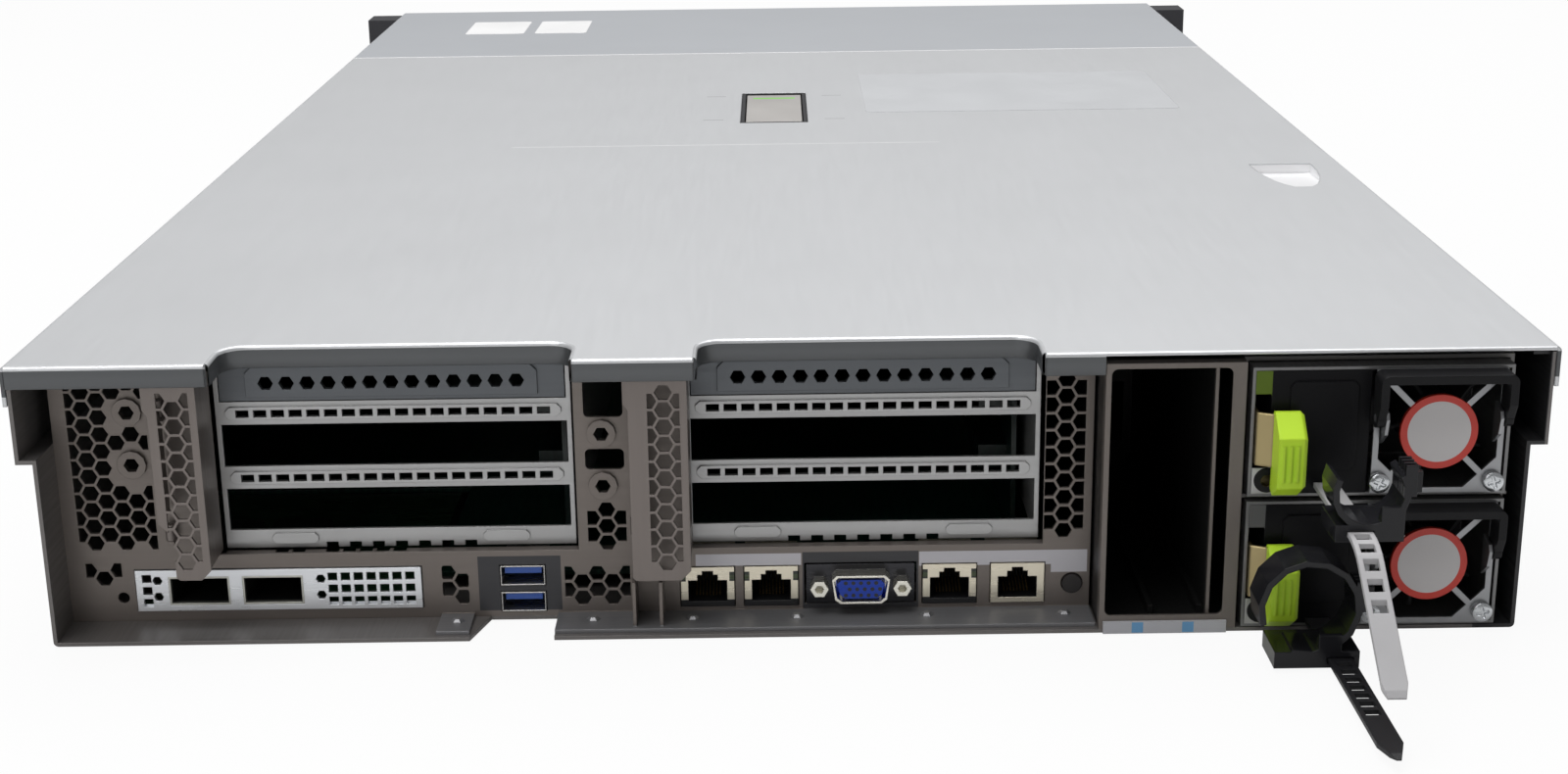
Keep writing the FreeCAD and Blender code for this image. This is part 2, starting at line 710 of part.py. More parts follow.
def slot_blanks():
    """Blanking plates of the two upper slots: a raised panel with a row of hexagonal holes."""
    blanks = []
    top = wall_top - 2 * sheet - 2 * seat
    crest = height - sheet - notch_flange - seat
    for x0 in cage_left_x:
        x = (x0 + cage_side + seat, x0 + cage_width - cage_side - seat)
        z = (slot_z(2)[0] + seat, top)
        middle = (x[0] + x[1]) / 2
        plate = box(x, (cage_depth, cage_depth + sheet), z)
        raised = along_y([(x[0] + 8, z[0] + 1.2), (x[1] - 8, z[0] + 1.2), (x[1] - 8, crest - 2),
                          (x[1] - 10, crest),
                          (x[0] + 10, crest), (x[0] + 8, crest - 2)], (cage_depth - emboss, cage_depth))
        holes = [hexagon(middle + blank_hole_pitch * (k - (blank_holes - 1) / 2), z[0] + 5.6,
                         vent_flats - 0.5,
                         (cage_depth - 2, cage_depth + 3)) for k in range(blank_holes)]
        blanks.append(plate.fuse(raised).cut(holes))
    return Part.Compound(blanks)


def riser_boards():
    """Riser boards that stand in the board's sockets, each with three card connectors."""
    boards = []
    for x0 in cage_left_x:
        x1 = x0 + cage_width - sheet - 3.0
        board = box((x1 - board_thickness, x1), (cage_depth + 26, cage_length - 6), (board_top + 2, bay_z[1]))
        slots = []
        for row in range(3):
            z = slot_first + slot_pitch * row
            slot = box((x1 - board_thickness - 9, x1 - board_thickness), (cage_depth + 40, cage_depth + 129),
                       (z - 3.8, z + 3.8))
            groove = box((x1 - board_thickness - 10, x1 - board_thickness - 3),
                         (cage_depth + 42, cage_depth + 127), (z - 0.9, z + 0.9))
            slots.append(slot.cut(groove))
        boards.append(board.fuse(slots))
    return Part.Compound(boards)


def card_retainer(x, bottom, waist):
    """Vented flap over the card tabs: hinged at its left, narrower by waist in its lower part."""
    left, right = x
    ax, ay, top = retainer_axis(x), retainer_axis_depth, retainer_top
    half_sheet = retainer_sheet / 2
    y = (retainer_depth, retainer_depth + retainer_sheet)
    wall_x = (ax - half_sheet, ax + half_sheet)
    low = bottom + 3 * waist
    face = along_y([(left, top), (left, top - 7), (wall_x[0], top - 9), (wall_x[0], low + 6),
                    (wall_x[0] + waist, low + 2),
                    (wall_x[0] + waist, bottom + 1), (wall_x[0] + waist + 1, bottom), (right - 3, bottom),
                    (right, bottom + 3), (right, top)], y)
    wall = box(wall_x, (retainer_depth, ay), (low + 6, top - 9))
    edge = box((right - retainer_sheet, right), (retainer_depth, retainer_depth + retainer_return),
               (cage_bottom + seat, top))
    barrels, cuts = [], []
    for z in retainer_hinge_z:
        z1 = z + sheet + seat
        barrels.append(rod((ax, ay, z1), (0, 0, 1), retainer_barrel, retainer_barrel_length))
        cuts.append(rod((ax, ay, z - 1), (0, 0, 1), retainer_pin_radius + pin_clearance,
                        retainer_barrel_length + 4))
        cuts.append(box((ax - 2, ax + 2), (ay - 1.8, ay + 3), (z - seat, z1)))
    cuts.append(vent((right - retainer_vents[0], right - retainer_vents[1]), (bottom + 3, top - 1.5),
                     (y[0] - 1, y[1] + 1)))
    return join([face, wall, edge] + barrels).cut(cuts)


# ---------------------------------------------------------------- bays and power supplies

def rear_drive_bay():
    """Tall cage for two upright drives: rounded mouth, guide ribs, divider and a closed front end."""
    x, z = bay_x, (sheet, bay_z[1] + 1.6)
    outer = box(x, (0, bay_length), z)
    mouth = rounded(box((x[0] + 1.6, bay_x[1] - 4.0), (-1, bay_wall + 1), (bay_z[0] + 0.4, bay_z[1])), 1, 2.0)
    inside = box((x[0] + bay_wall, bay_divider_x), (bay_wall, bay_length - bay_wall),
                 (sheet + bay_wall, z[1] - bay_wall))
    side = box((bay_divider_x + bay_wall, x[1] - bay_wall), (bay_wall, bay_length - bay_wall),
               (sheet + bay_wall, z[1] - bay_wall))
    middle = (x[0] + bay_wall + bay_divider_x) / 2
    ribs = []
    for px in (x[0] + bay_wall, middle - 0.8, bay_divider_x - 1.6):
        for pz in (sheet + bay_wall, z[1] - bay_wall - 3.0):
            ribs.append(box((px, px + 1.6), (8, bay_length - bay_wall), (pz, pz + 3.0)))
    shelf = box((x[0] + 1.2, x[1] - 2.8), (-1.0, 0), (0, bay_z[0] - 1.3))
    vents = [box((x[0] + 6 + 9 * k, x[0] + 11 + 9 * k), (bay_length - 3, bay_length + 1), (z0, z0 + 22))
             for k in range(3) for z0 in (10, 50)]
    return outer.cut([mouth, inside, side] + vents).fuse(ribs + [shelf])


def psu_bay():
    """Sheet cage round the power supplies: side walls, shelf, roof and end plate."""
    x = (psu_x[0] - seat - sheet, psu_x[1] + seat + sheet)
    roof = psu_upper_z + psu_height + seat
    y = (6, psu_length + 10)
    walls = [box((x[0], x[0] + sheet), y, (sheet, roof + sheet)),
             box((x[1] - sheet, x[1]), y, (sheet, roof + sheet)),
             box(x, y, (roof, roof + sheet)),
             box(x, (3, y[1]), (psu_lower_z + psu_height + seat,
                                psu_lower_z + psu_height + seat + psu_shelf))]
    end = box(x, (y[1] - sheet, y[1]), (sheet, roof + sheet))
    mouths = [box((psu_x[0] + 10, psu_x[1] - 10), (y[1] - 3, y[1] + 1), (z + 7, z + psu_height - 7))
              for z in (psu_lower_z, psu_upper_z)]
    return join(walls + [end]).cut(mouths)


def psu_housing(z0):
    """Steel case with an open chamber at its rear and card-edge contacts at its front."""
    case = box(psu_x, (0, psu_length), (z0, z0 + psu_height))
    chamber = box((psu_x[0] + psu_sheet, psu_x[1] - psu_sheet), (-1, psu_pocket),
                  (z0 + psu_sheet, z0 + psu_height - psu_sheet))
    shaft = disc(fan_centre_x, z0 + psu_height / 2, 1.5, (psu_pocket - 14, psu_pocket + 1), 10)
    hook = along_z([(psu_x[0], 22), (psu_x[0] - seat / 2, 22), (psu_x[0] - seat / 2, 26), (psu_x[0], 26)],
                   (z0 + 14, z0 + 22))
    edge = box((psu_x[0] + 15, psu_x[1] - 15), (psu_length, psu_length + 7), (z0 + 14, z0 + 15.6))
    return join([case.cut(chamber), shaft, hook, edge])


def psu_inlet(z0):
    """Black plastic rear module with the upright power inlet, its three blades and the lamp ring."""
    lo, hi = z0 + psu_sheet, z0 + psu_height - psu_sheet
    left = psu_x[0] + psu_sheet
    body = along_y([(left, lo), (inlet_split_x, lo), (inlet_split_x, hi), (inlet_left_x, hi),
                    (inlet_left_x, lo + 8),
                    (left, lo + 8)], (-0.4, psu_pocket))
    cx, cz = inlet_centre[0], z0 + inlet_centre[1] - 3.2
    w, h, cut = inlet_recess[0] / 2, inlet_recess[1] / 2, 4.5
    recess = along_y([(cx - w + cut, cz - h), (cx + w, cz - h), (cx + w, cz + h), (cx - w + cut, cz + h),
                      (cx - w, cz + h - cut), (cx - w, cz - h + cut)], (-1, inlet_depth))
    blades = [box((bx - 2, bx + 2), (4.6, inlet_depth), (bz - 1, bz + 1))
              for bx, bz in ((cx + 1.6, cz + 7), (cx + 1.6, cz - 7), (cx - 2.4, cz))]
    collar = along_y(cut_corners((cx - w - 1.6, cx + w + 1.6), (cz - h - 1.6, cz + h + 1.6), 1.5),
                     (-1.2, -0.4))
    lamp_x, lamp_z = left + lamp_radius + 0.7, lo + lamp_radius + 0.5
    lamp_ring = disc(lamp_x, lamp_z, lamp_radius, (-1.0, 0.0), 16)
    lamp = disc(lamp_x, lamp_z, lamp_radius / 2, (-2.0, 1.0), 8)
    block = box((left, inlet_left_x), (-0.2, 10), (hi - 7, hi))
    return join([body, collar, lamp_ring, block]).cut([recess, lamp]).fuse(blades)


def psu_fan_guard(z0):
    """Pressed guard: square frame with cut corners, four struts, a centre disc, ears and two screws."""
    cx, cz = fan_centre_x, z0 + psu_height / 2
    y = (-guard_sheet, 0)
    side, hole, corner = 18.9, 17.2, 9.0
    frame = box((cx - side, cx + side), y, (cz - side, cz + side))
    opening = along_y([(cx - hole + corner, cz - hole), (cx + hole - corner, cz - hole),
                       (cx + hole, cz - hole + corner),
                       (cx + hole, cz + hole - 3), (cx + hole - 3, cz + hole), (cx - hole + 3, cz + hole),
                       (cx - hole, cz + hole - 3), (cx - hole, cz - hole + corner)], (-3, 3))
    pieces = [frame.cut(opening),
              rod((cx, -guard_sheet - 0.4, cz), (0, 1, 0), disc_radius, guard_sheet + 0.4)]
    for turn in (45, 135):
        strut = box((cx - 22, cx + 22), y, (cz - 0.9, cz + 0.9))
        strut.rotate(vec(cx, 0, cz), vec(0, 1, 0), turn)
        pieces.append(strut)
    for sx in (-1, 1):
        px = cx + sx * ((handle_x[1] - handle_x[0]) / 2 - handle_arm - seat - 0.5)
        ear_y, ear_z = handle_pivot[0], z0 + handle_pivot[1]
        ear = along_x([(0, ear_z - 9), (ear_y - 1, ear_z - 5), (ear_y - 2.4, ear_z), (ear_y - 1.4, ear_z + 2),
                       (0, ear_z + 3.4)], sorted((px - sx * 0.5, px + sx * 0.5)))
        pieces.append(ear)
        pieces.append(rod((px, ear_y, ear_z), (sx, 0, 0), handle_pin_radius, 0.8 + handle_arm))
        pieces.append(disc(cx + sx * 16.6, cz - 15.2, 2.9, (-guard_sheet - 1.6, -guard_sheet)))
    return join(pieces)


def fan_rotor(x, depth, z, hub, tip, deep, blades, bore):
    """Hub with pitched blades that turns on a fixed shaft along Y, with its rear face at depth."""
    core = along_y(ring(x, z, hub / math.cos(math.pi / 2 / blades), 2 * blades), (depth, depth + deep))
    pieces = [core]
    for k in range(blades):
        blade = Part.makeBox(tip - hub + 0.6, 1.1, deep * 0.94, vec(hub - 0.6, -0.55, -deep * 0.47))
        blade.rotate(vec(0, 0, 0), vec(1, 0, 0), blade_pitch)
        blade.rotate(vec(0, 0, 0), vec(0, 0, 1), 360 / blades * (k + 0.25))
        blade.rotate(vec(0, 0, 0), vec(1, 0, 0), -90)
        pieces.append(blade.translated(vec(x, at(depth + deep / 2), z)))
    return join(pieces).cut(rod((x, depth + 2, z), (0, 1, 0), bore + pin_clearance, deep))


def psu_fan_rotor(z0):
    return fan_rotor(fan_centre_x, 6, z0 + psu_height / 2, psu_hub_radius, psu_fan_radius, 14, 5, 1.5)


def psu_latch(z0):
    """Spring leaf with its thumb tab: it swings about the far end of the leaf."""
    lo, hi = z0 + 10.5, z0 + 26.5
    x = psu_x[0] + psu_sheet + seat
    spring = along_z([(x, latch_pivot_depth), (x + leaf, latch_pivot_depth), (x + leaf, -1.2),
                      (tab_x[0] + 1, -3.6), (tab_x[0] + 1, -4.6), (x, -2.2)], (lo, hi))
    d = tab_reach
    tab = along_x([(-2.8, z0 + tab_z[0] + 1), (-2.8, z0 + tab_z[1] - 1), (-3.8, z0 + tab_z[1]),
                   (-d * 0.45, z0 + tab_z[1]), (-d, z0 + tab_z[1] - 6), (-d, z0 + tab_z[0] + 4),
                   (-d * 0.5, z0 + tab_z[0])], tab_x)
    tab = tab.makeChamfer(1.0, [e for e in tab.Edges if e.CenterOfMass.x > tab_x[1] - 0.1])
    ribs = [box((tab_x[0] + 2.0 * k + 1.2, tab_x[0] + 2.0 * k + 2.0), (-d - 0.5, -d + 1),
                (z0 + tab_z[0] + 6, z0 + tab_z[1] - 8))
            for k in range(tab_ribs)]
    roll = rod((x + leaf / 2, latch_pivot_depth, lo), (0, 0, 1), leaf * 0.75, hi - lo)
    return join([spring, roll, tab] + ribs)


def psu_handle(z0):
    """Folding handle: a top bar with two arms that end in round eyes on the guard's pins."""
    top = z0 + psu_height - 0.6
    py, pz = handle_pivot[0], z0 + handle_pivot[1]
    x0, x1 = handle_x
    bar = box((x0, x1), (-handle_reach, -1.2), (top - handle_bar, top))
    arms = []
    for x in ((x0, x0 + handle_arm), (x1 - handle_arm, x1)):
        arms.append(along_x([(-handle_reach, top - 9), (-handle_reach, top), (-1.2, top), (-1.2, pz),
                             (py - 2.6, pz)], x))
        arms.append(along_x(ring(py, pz, 2.8, 10), x))
    frame = rounded(join([bar] + arms), 1, handle_bar - 0.3,
                    lambda p: p.z > top - 0.1 and not x0 + 0.1 < p.x < x1 - 0.1)
    return frame.cut(rod((x0 - 1, py, pz), (1, 0, 0), handle_pin_radius + pin_clearance, x1 - x0 + 2))


def strap_outline(z, droop):
    """Side view of the strap: straight out from the module, then bent down by droop degrees."""
    run = strap_straight if droop else strap_length
    t = strap_thickness / 2
    if not droop:
        return [(-0.4, z - t), (-0.4, z + t), (-run + 3, z + t), (-run, z), (-run + 3, z - t)]
    steps = [math.radians(droop * k / 4) for k in range(5)]
    r = strap_bend_radius
    upper = [(-run - (r + t) * math.sin(a), z + t - (r + t) * (1 - math.cos(a))) for a in steps]
    lower = [(-run - (r - t) * math.sin(a), z - t - (r - t) * (1 - math.cos(a))) for a in steps]
    a = steps[-1]
    rest = strap_length - run - r * math.sin(a)
    reach = (-rest * math.cos(a), -rest * math.sin(a))
    tip = ((upper[-1][0] + lower[-1][0]) / 2 + reach[0] * 1.06,
           (upper[-1][1] + lower[-1][1]) / 2 + reach[1] * 1.06)
    ends = [(upper[-1][0] + reach[0], upper[-1][1] + reach[1]), tip,
            (lower[-1][0] + reach[0], lower[-1][1] + reach[1])]
    return [(-0.4, z - t), (-0.4, z + t)] + upper + ends + lower[::-1]


def psu_strap(z0, rise, droop):
    """Nylon ladder strap: rungs between two rails, pointed at its end."""
    x = (strap_x - strap_width / 2, strap_x + strap_width / 2)
    strap = along_x(strap_outline(z0 + rise, droop), x)
    reach = strap_length
    point = along_z([(x[0] - 1, -reach - 9), (x[0] - 1, -reach + 9), (x[0] - 0.01, -reach + 9),
                     (strap_x, -reach - 2)], (-5, 60))
    other = along_z([(x[1] + 1, -reach - 9), (x[1] + 1, -reach + 9), (x[1] + 0.01, -reach + 9),
                     (strap_x, -reach - 2)], (-5, 60))
    windows = []
    for k in range(strap_rungs):
        d = -strap_straight + 10 - 5.2 * k
        windows.append(box((strap_x - 2.1, strap_x + 2.1), (d - 3.2, d), (-5, 60)))
    return strap.cut([point, other] + windows)


def psu_clamp(z0, rise, name):
    """Cable clamp: a runner round the strap, an open loop for the cable, ratchet teeth and a release tab."""
    z = z0 + rise
    y = (-clamp_starts[name] - clamp_depth, -clamp_starts[name])
    radius = clamp_radius[name]
    grow = strap_thickness / 2 + seat
    base = (z - grow - 1.2, z + grow + clamp_wall)
    cx = strap_x + clamp_lean[name]
    outer = radius + clamp_wall
    cz = base[1] + radius
    first, last = clamp_arc[name]
    turns = [math.radians(first + (last - first) * k / 12) for k in range(13)]
    arc = [(cx + outer * math.cos(t), cz + outer * math.sin(t)) for t in turns]
    back = [(cx + radius * math.cos(t), cz + radius * math.sin(t)) for t in turns[::-1]]
    loop = along_y(arc + back, (y[0], y[1] - 3))
    runner = box((cx - 9.5, max(cx + 9.5, strap_x + strap_width / 2 + seat + 1.6)), y, base)
    pieces = [runner, loop]
    for k in range(clamp_teeth):
        d = y[0] + 2.4 * k
        pieces.append(box((cx + outer - 2.0, cx + outer + 1.4), (d, d + 1.1), (cz - 1, cz + 8)))
    pieces.append(box((cx + outer - 0.6, cx + outer + 5.4), (y[0] + 9, y[0] + 11), (cz - 3, cz + 3)))
    pieces.append(along_x([(y[0], base[1] - 0.5), (y[0], base[1] + 5), (y[0] + 1.4, base[1] + 5),
                           (y[0] + 4, base[1] - 0.5)],
                          (cx + 3, cx + 9.5)))
    tunnel = box((strap_x - strap_width / 2 - seat, strap_x + strap_width / 2 + seat), (y[0] - 1, y[1] + 1),
                 (z - grow, z + grow))
    return join(pieces).cut(tunnel)


# ---------------------------------------------------------------- board, processors, fans

def memory_x(processor):
    """X of the six memory modules on each side of a processor."""
    clear = heatsink_size[0] / 2 + 6
    return [processor + side * (clear + memory_pitch * k) for side in (-1, 1) for k in range(memory_per_side)]


def system_board():
    """Main board with memory sockets, processor sockets and riser sockets."""
    (left, right), (rear, front) = board_x, board_depth
    card_edge, card_end = network_x[1] + 2, panel_depth + card_length + 2
    bay_edge, bay_end = bay_x[0] - 1.6, psu_length + 20
    outline = [(left, card_end), (card_edge, card_end), (card_edge, rear), (bay_edge, rear),
               (bay_edge, bay_end),
               (right, bay_end), (right, front), (left, front)]
    pieces = [along_z(outline, (board_bottom, board_top))]
    for cx in processor_x:
        for side in (-1, 1):
            near = cx + side * (heatsink_size[0] / 2 + 6)
            far = near + side * memory_pitch * (memory_per_side - 1)
            x = (min(near, far) - 3.2, max(near, far) + 3.2)
            bank = box(x, (memory_depth - 4, memory_depth + memory_size[1] + 4),
                       (board_top, board_top + socket_height))
            pieces.append(bank)
        pieces.append(box((cx - 34, cx + 34), (heatsink_depth + 16, heatsink_depth + 92),
                          (board_top, board_top + 3)))
    return join(pieces)


def cpu_heatsinks():
    """Two finned coolers on the processor sockets."""
    w, d, h = heatsink_size
    foot = board_top + 3
    outline_top = foot + h
    base = 6.0
    sinks = []
    for cx in processor_x:
        pitch = (w - fin) / (fin_count - 1)
        outline = [(cx - w / 2, foot)]
        for k in range(fin_count):
            x = cx - w / 2 + pitch * k
            if k:
                outline.append((x, foot + base))
            outline += [(x, outline_top), (x + fin, outline_top)]
            if k < fin_count - 1:
                outline.append((x + fin, foot + base))
        outline.append((cx + w / 2, foot))
        sinks.append(along_y(outline, (heatsink_depth, heatsink_depth + d)))
    return Part.Compound(sinks)


def memory_modules():
    """Upright memory modules in their sockets."""
    t, long, tall = memory_size
    z = board_top + socket_height
    return Part.Compound([box((x - t / 2, x + t / 2), (memory_depth, memory_depth + long), (z, z + tall))
                          for cx in processor_x for x in memory_x(cx)])


def air_baffle():
    """Plastic duct over the processors: high over the coolers and low over the memory."""
    high, low, wall, reach = height - baffle_below_top, baffle_low, baffle_wall, baffle_reach
    foot = board_top + seat
    upper = heatsink_size[0] / 2 + 1.5
    outer = [(-reach, foot), (-reach, low)]
    inner = [(-reach + wall, foot), (-reach + wall, low - wall)]
    for cx in processor_x:
        outer += [(cx - upper - wall, low), (cx - upper - wall, high), (cx + upper + wall, high),
                  (cx + upper + wall, low)]
        inner += [(cx - upper, low - wall), (cx - upper, high - wall), (cx + upper, high - wall),
                  (cx + upper, low - wall)]
    outer += [(reach, low), (reach, foot)]
    inner += [(reach - wall, low - wall), (reach - wall, foot)]
    return along_y(outer + inner[::-1], (memory_depth - baffle_margin[0], board_depth[1] - baffle_margin[1]))


def fan_x(k):
    return fan_pitch * (k - (fan_count - 1) / 2)


def fan_tray():
    """Cradle for the fans: floor with upright dividers between them."""
    reach = fan_pitch * fan_count / 2 + 2
    y = (fan_depth - 8, fan_depth + fan_length + 8)
    pieces = [box((-reach, reach), y, (sheet, fan_floor))]
    for k in range(fan_count + 1):
        x = fan_pitch * (k - fan_count / 2)
        pieces.append(box((x - 1, x + 1), y, (fan_floor, fan_floor + fan_size + 2)))
    return join(pieces)


def fan_frames():
    """Six square fan frames, each with a duct, four struts and the motor plate with its shaft."""
    frames = []
    for k in range(fan_count):
        x, z = fan_x(k), fan_floor + fan_size / 2
        y = (fan_depth, fan_depth + fan_length)
        body = box((x - fan_size / 2, x + fan_size / 2), y, (fan_floor, fan_floor + fan_size))
        duct = disc(x, z, fan_bore, (y[0] - 1, y[1] + 1))
        plate = disc(x, z, fan_hub_radius, (y[1] - 5, y[1]), 8)
        bars = [box((x - fan_bore - 0.5, x + fan_bore + 0.5), (y[1] - 5, y[1]), (z - 1.5, z + 1.5)),
                box((x - 1.5, x + 1.5), (y[1] - 5, y[1]), (z - fan_bore - 0.5, z + fan_bore + 0.5))]
        shaft = disc(x, z, fan_shaft_radius, (y[1] - 25, y[1] - 4), 10)
        frames.append(join([body.cut(duct), plate, shaft] + bars))
    return Part.Compound(frames)


def case_fan_rotor(k):
    return fan_rotor(fan_x(k), fan_depth + 8, fan_floor + fan_size / 2, fan_hub_radius, fan_blade_radius,
                     22, 5,
                     fan_shaft_radius)


def storage_controller():
    """Upright controller card along the left wall with a finned cooler and its bracket."""
    x = -inner_half + controller_offset
    face = x + board_thickness
    front = memory_depth - controller_gap
    rear = front - controller_length
    board = box((x, face), (rear, front), (board_top, controller_top))
    pitch = controller_length / 2 / controller_fins
    cooler = [(face, rear + controller_length / 4)]
    for k in range(controller_fins):
        d = rear + controller_length / 4 + pitch * k
        cooler += [(face + 6, d), (face + 6, d + pitch / 4), (face + 2, d + pitch / 4), (face + 2, d + pitch)]
    cooler[-1] = (face, cooler[-1][1])
    cooler[-2] = (face + 2, cooler[-2][1])
    bracket = box((-inner_half, x), (rear + 30, rear + 42), (controller_top - 10, controller_top - 8))
    return join([board, along_z(cooler, (24, controller_top - 12)), bracket])


# ---------------------------------------------------------------- front drives and ears

def column_x(column):
    return drive_pitch_x * (column - (drive_columns - 1) / 2)


def drive_cage():
    """Open cage with a roof and upright walls between the drive columns, with support ledges."""
    y = (backplane_depth + 4, ear_depth + 2)
    reach = drive_pitch_x * drive_columns / 2 + 0.8
    top = drive_floor + drive_pitch_z * drive_rows + 0.4
    pieces = [box((-reach, reach), y, (sheet, drive_floor - seat)), box((-reach, reach), y, (top - 0.8, top))]
    for k in range(drive_columns + 1):
        x = drive_pitch_x * (k - drive_columns / 2)
        pieces.append(box((x - 0.6, x + 0.6), y, (sheet, top)))
    return join(pieces)


def carrier(column, row, hinged=True):
    """Drive tray with its drive, and a bezel with upright air slots and the pin of its lever."""
    (w, d), h = carrier_size, carrier_height
    x, z = column_x(column), drive_floor + drive_pitch_z * row
    body = box((x - 50.8, x + 50.8), (drive_front - d, drive_front - bezel_depth), (z, z + h - 1))
    bezel = box((x - w / 2, x + w / 2), (drive_front - bezel_depth, drive_front), (z, z + h))
    pocket = box((x + w / 2 - 33, x + w / 2 - 5), (drive_front - 8, drive_front + 1), (z + 3, z + h - 3))
    pin = rod((x + w / 2 - 8.5, drive_front - 4.5, z + 2), (0, 0, 1), lever_pin, h - 4)
    slots = [box((x - 47 + 22 * k, x - 29 + 22 * k), (drive_front - 6, drive_front + 1), (z + 5, z + h - 5))
             for k in range(3)]
    tray = body.fuse(bezel).removeSplitter().cut([pocket] + slots)
    return tray.fuse(pin) if hinged else tray


def carrier_lever(column, row, hinged=True):
    """Lever in the bezel's pocket that locks the tray: plate with a rounded grip."""
    (w, d), h = carrier_size, carrier_height
    x, z = column_x(column), drive_floor + drive_pitch_z * row
    px, far = x + w / 2 - 8.5, x + w / 2 - 33 + seat
    plate = along_z([(far, drive_front - 7), (px, drive_front - 7), (px + 3, drive_front - 5.5),
                     (px + 3, drive_front - 3.2), (px, drive_front - 1.5), (px - 1.8, drive_front),
                     (far + 5, drive_front), (far, drive_front - 3)], (z + 3 + seat, z + h - 3 - seat))
    bore = rod((px, drive_front - 4.5, z), (0, 0, 1), lever_pin + pin_clearance, h)
    return plate.cut(bore) if hinged else plate


def drive_backplane():
    """Upright circuit board behind the drives, with air windows and a connector for each drive."""
    reach = drive_pitch_x * drive_columns / 2 - 4
    y = (backplane_depth, backplane_depth + 2)
    board = box((-reach, reach), y, (drive_floor + 1, height - backplane_below_top))
    windows, plugs = [], []
    for column in range(drive_columns):
        for row in range(drive_rows):
            x, z = column_x(column), drive_floor + drive_pitch_z * row
            windows.append(box((x + window_x[0], x + window_x[1]), (y[0] - 1, y[1] + 1),
                               (z + 0.3 * drive_pitch_z, z + 0.8 * drive_pitch_z)))
            plugs.append(box((x + plug_x[0], x + plug_x[1]), (y[1], y[1] + plug_length),
                             (z + plug_z[0], z + plug_z[1])))
    return board.cut(windows).fuse(plugs)


def ear(side):
    """Rack ear: angle bracket on the wall with a flange, and the housing of the slam latch."""
    flange = box((half + 0.2, ear_span / 2), (ear_depth, ear_depth + ear_sheet), (1, height - 1))
    wall = box((lower_half, lower_half + ear_sheet), (ear_depth - ear_length, ear_depth),
               (6, step_height - 6))
    web = box((lower_half, half + 0.2 + ear_sheet), (ear_depth, ear_depth + ear_sheet), (6, step_height - 6))
    rail = box((half + 0.2, half + 1.4), (ear_depth, length - 3), (1, height - 1))
    cap = box((half + 0.2, ear_span / 2), (ear_depth, length - 3), (latch_height + 3, height - 1))
    hole = rod(((half + ear_span / 2) / 2 + 1, ear_depth - 1, ear_hole_z), (0, 1, 0), 3.4, 5)
    pivot = (ear_span / 2 - 3.0, length - 7.0)
    pins = [rod((pivot[0], pivot[1], 3.0), (0, 0, 1), 1.2, 6),
            rod((pivot[0], pivot[1], latch_height - 3), (0, 0, 1), 1.2, 6)]
    foot = box((pivot[0] - 3, ear_span / 2), (ear_depth, length - 3.6), (1, 3))
    shape = join([flange, wall, web, rail, cap, foot] + pins).cut([hole])
    if side > 0:
        button_hole = rod(((half + ear_span / 2) / 2 + 1.5, length - 13.5, button_z), (0, 1, 0),
                          button_radius + seat, 20)
        shape = shape.cut(button_hole)
    return shape if side > 0 else mirrored(shape)


def slam_latch(side):
    """Lever that covers the rack screw; it swings outwards on a pin at its outer edge."""
    x = (half + 2.2 + seat, ear_span / 2)
    px, py = ear_span / 2 - 3.0, length - 7.0
    y = (length - 12, length - 1.5)
    z = (3 + seat, latch_height + 3 - seat)
    body = box(x, (y[0], y[1]), z)
    body = rounded(body, 2, 2.4, lambda p: p.x > ear_span / 2 - 0.1)
    hollow = box((x[0] + 2, px - 3.2), (y[0] - 1, y[1] - 2), (z[0] + 2, z[1] - 2))
    bore = rod((px, py, 0), (0, 0, 1), 1.2 + pin_clearance, height)
    shape = body.cut([hollow, bore])
    return shape if side > 0 else mirrored(shape)


def power_button():
    """Round button in the ear."""
    x = (half + ear_span / 2) / 2 + 1.5
    return rod((x, length - 11.4, button_z), (0, 1, 0), button_radius, 9.2)


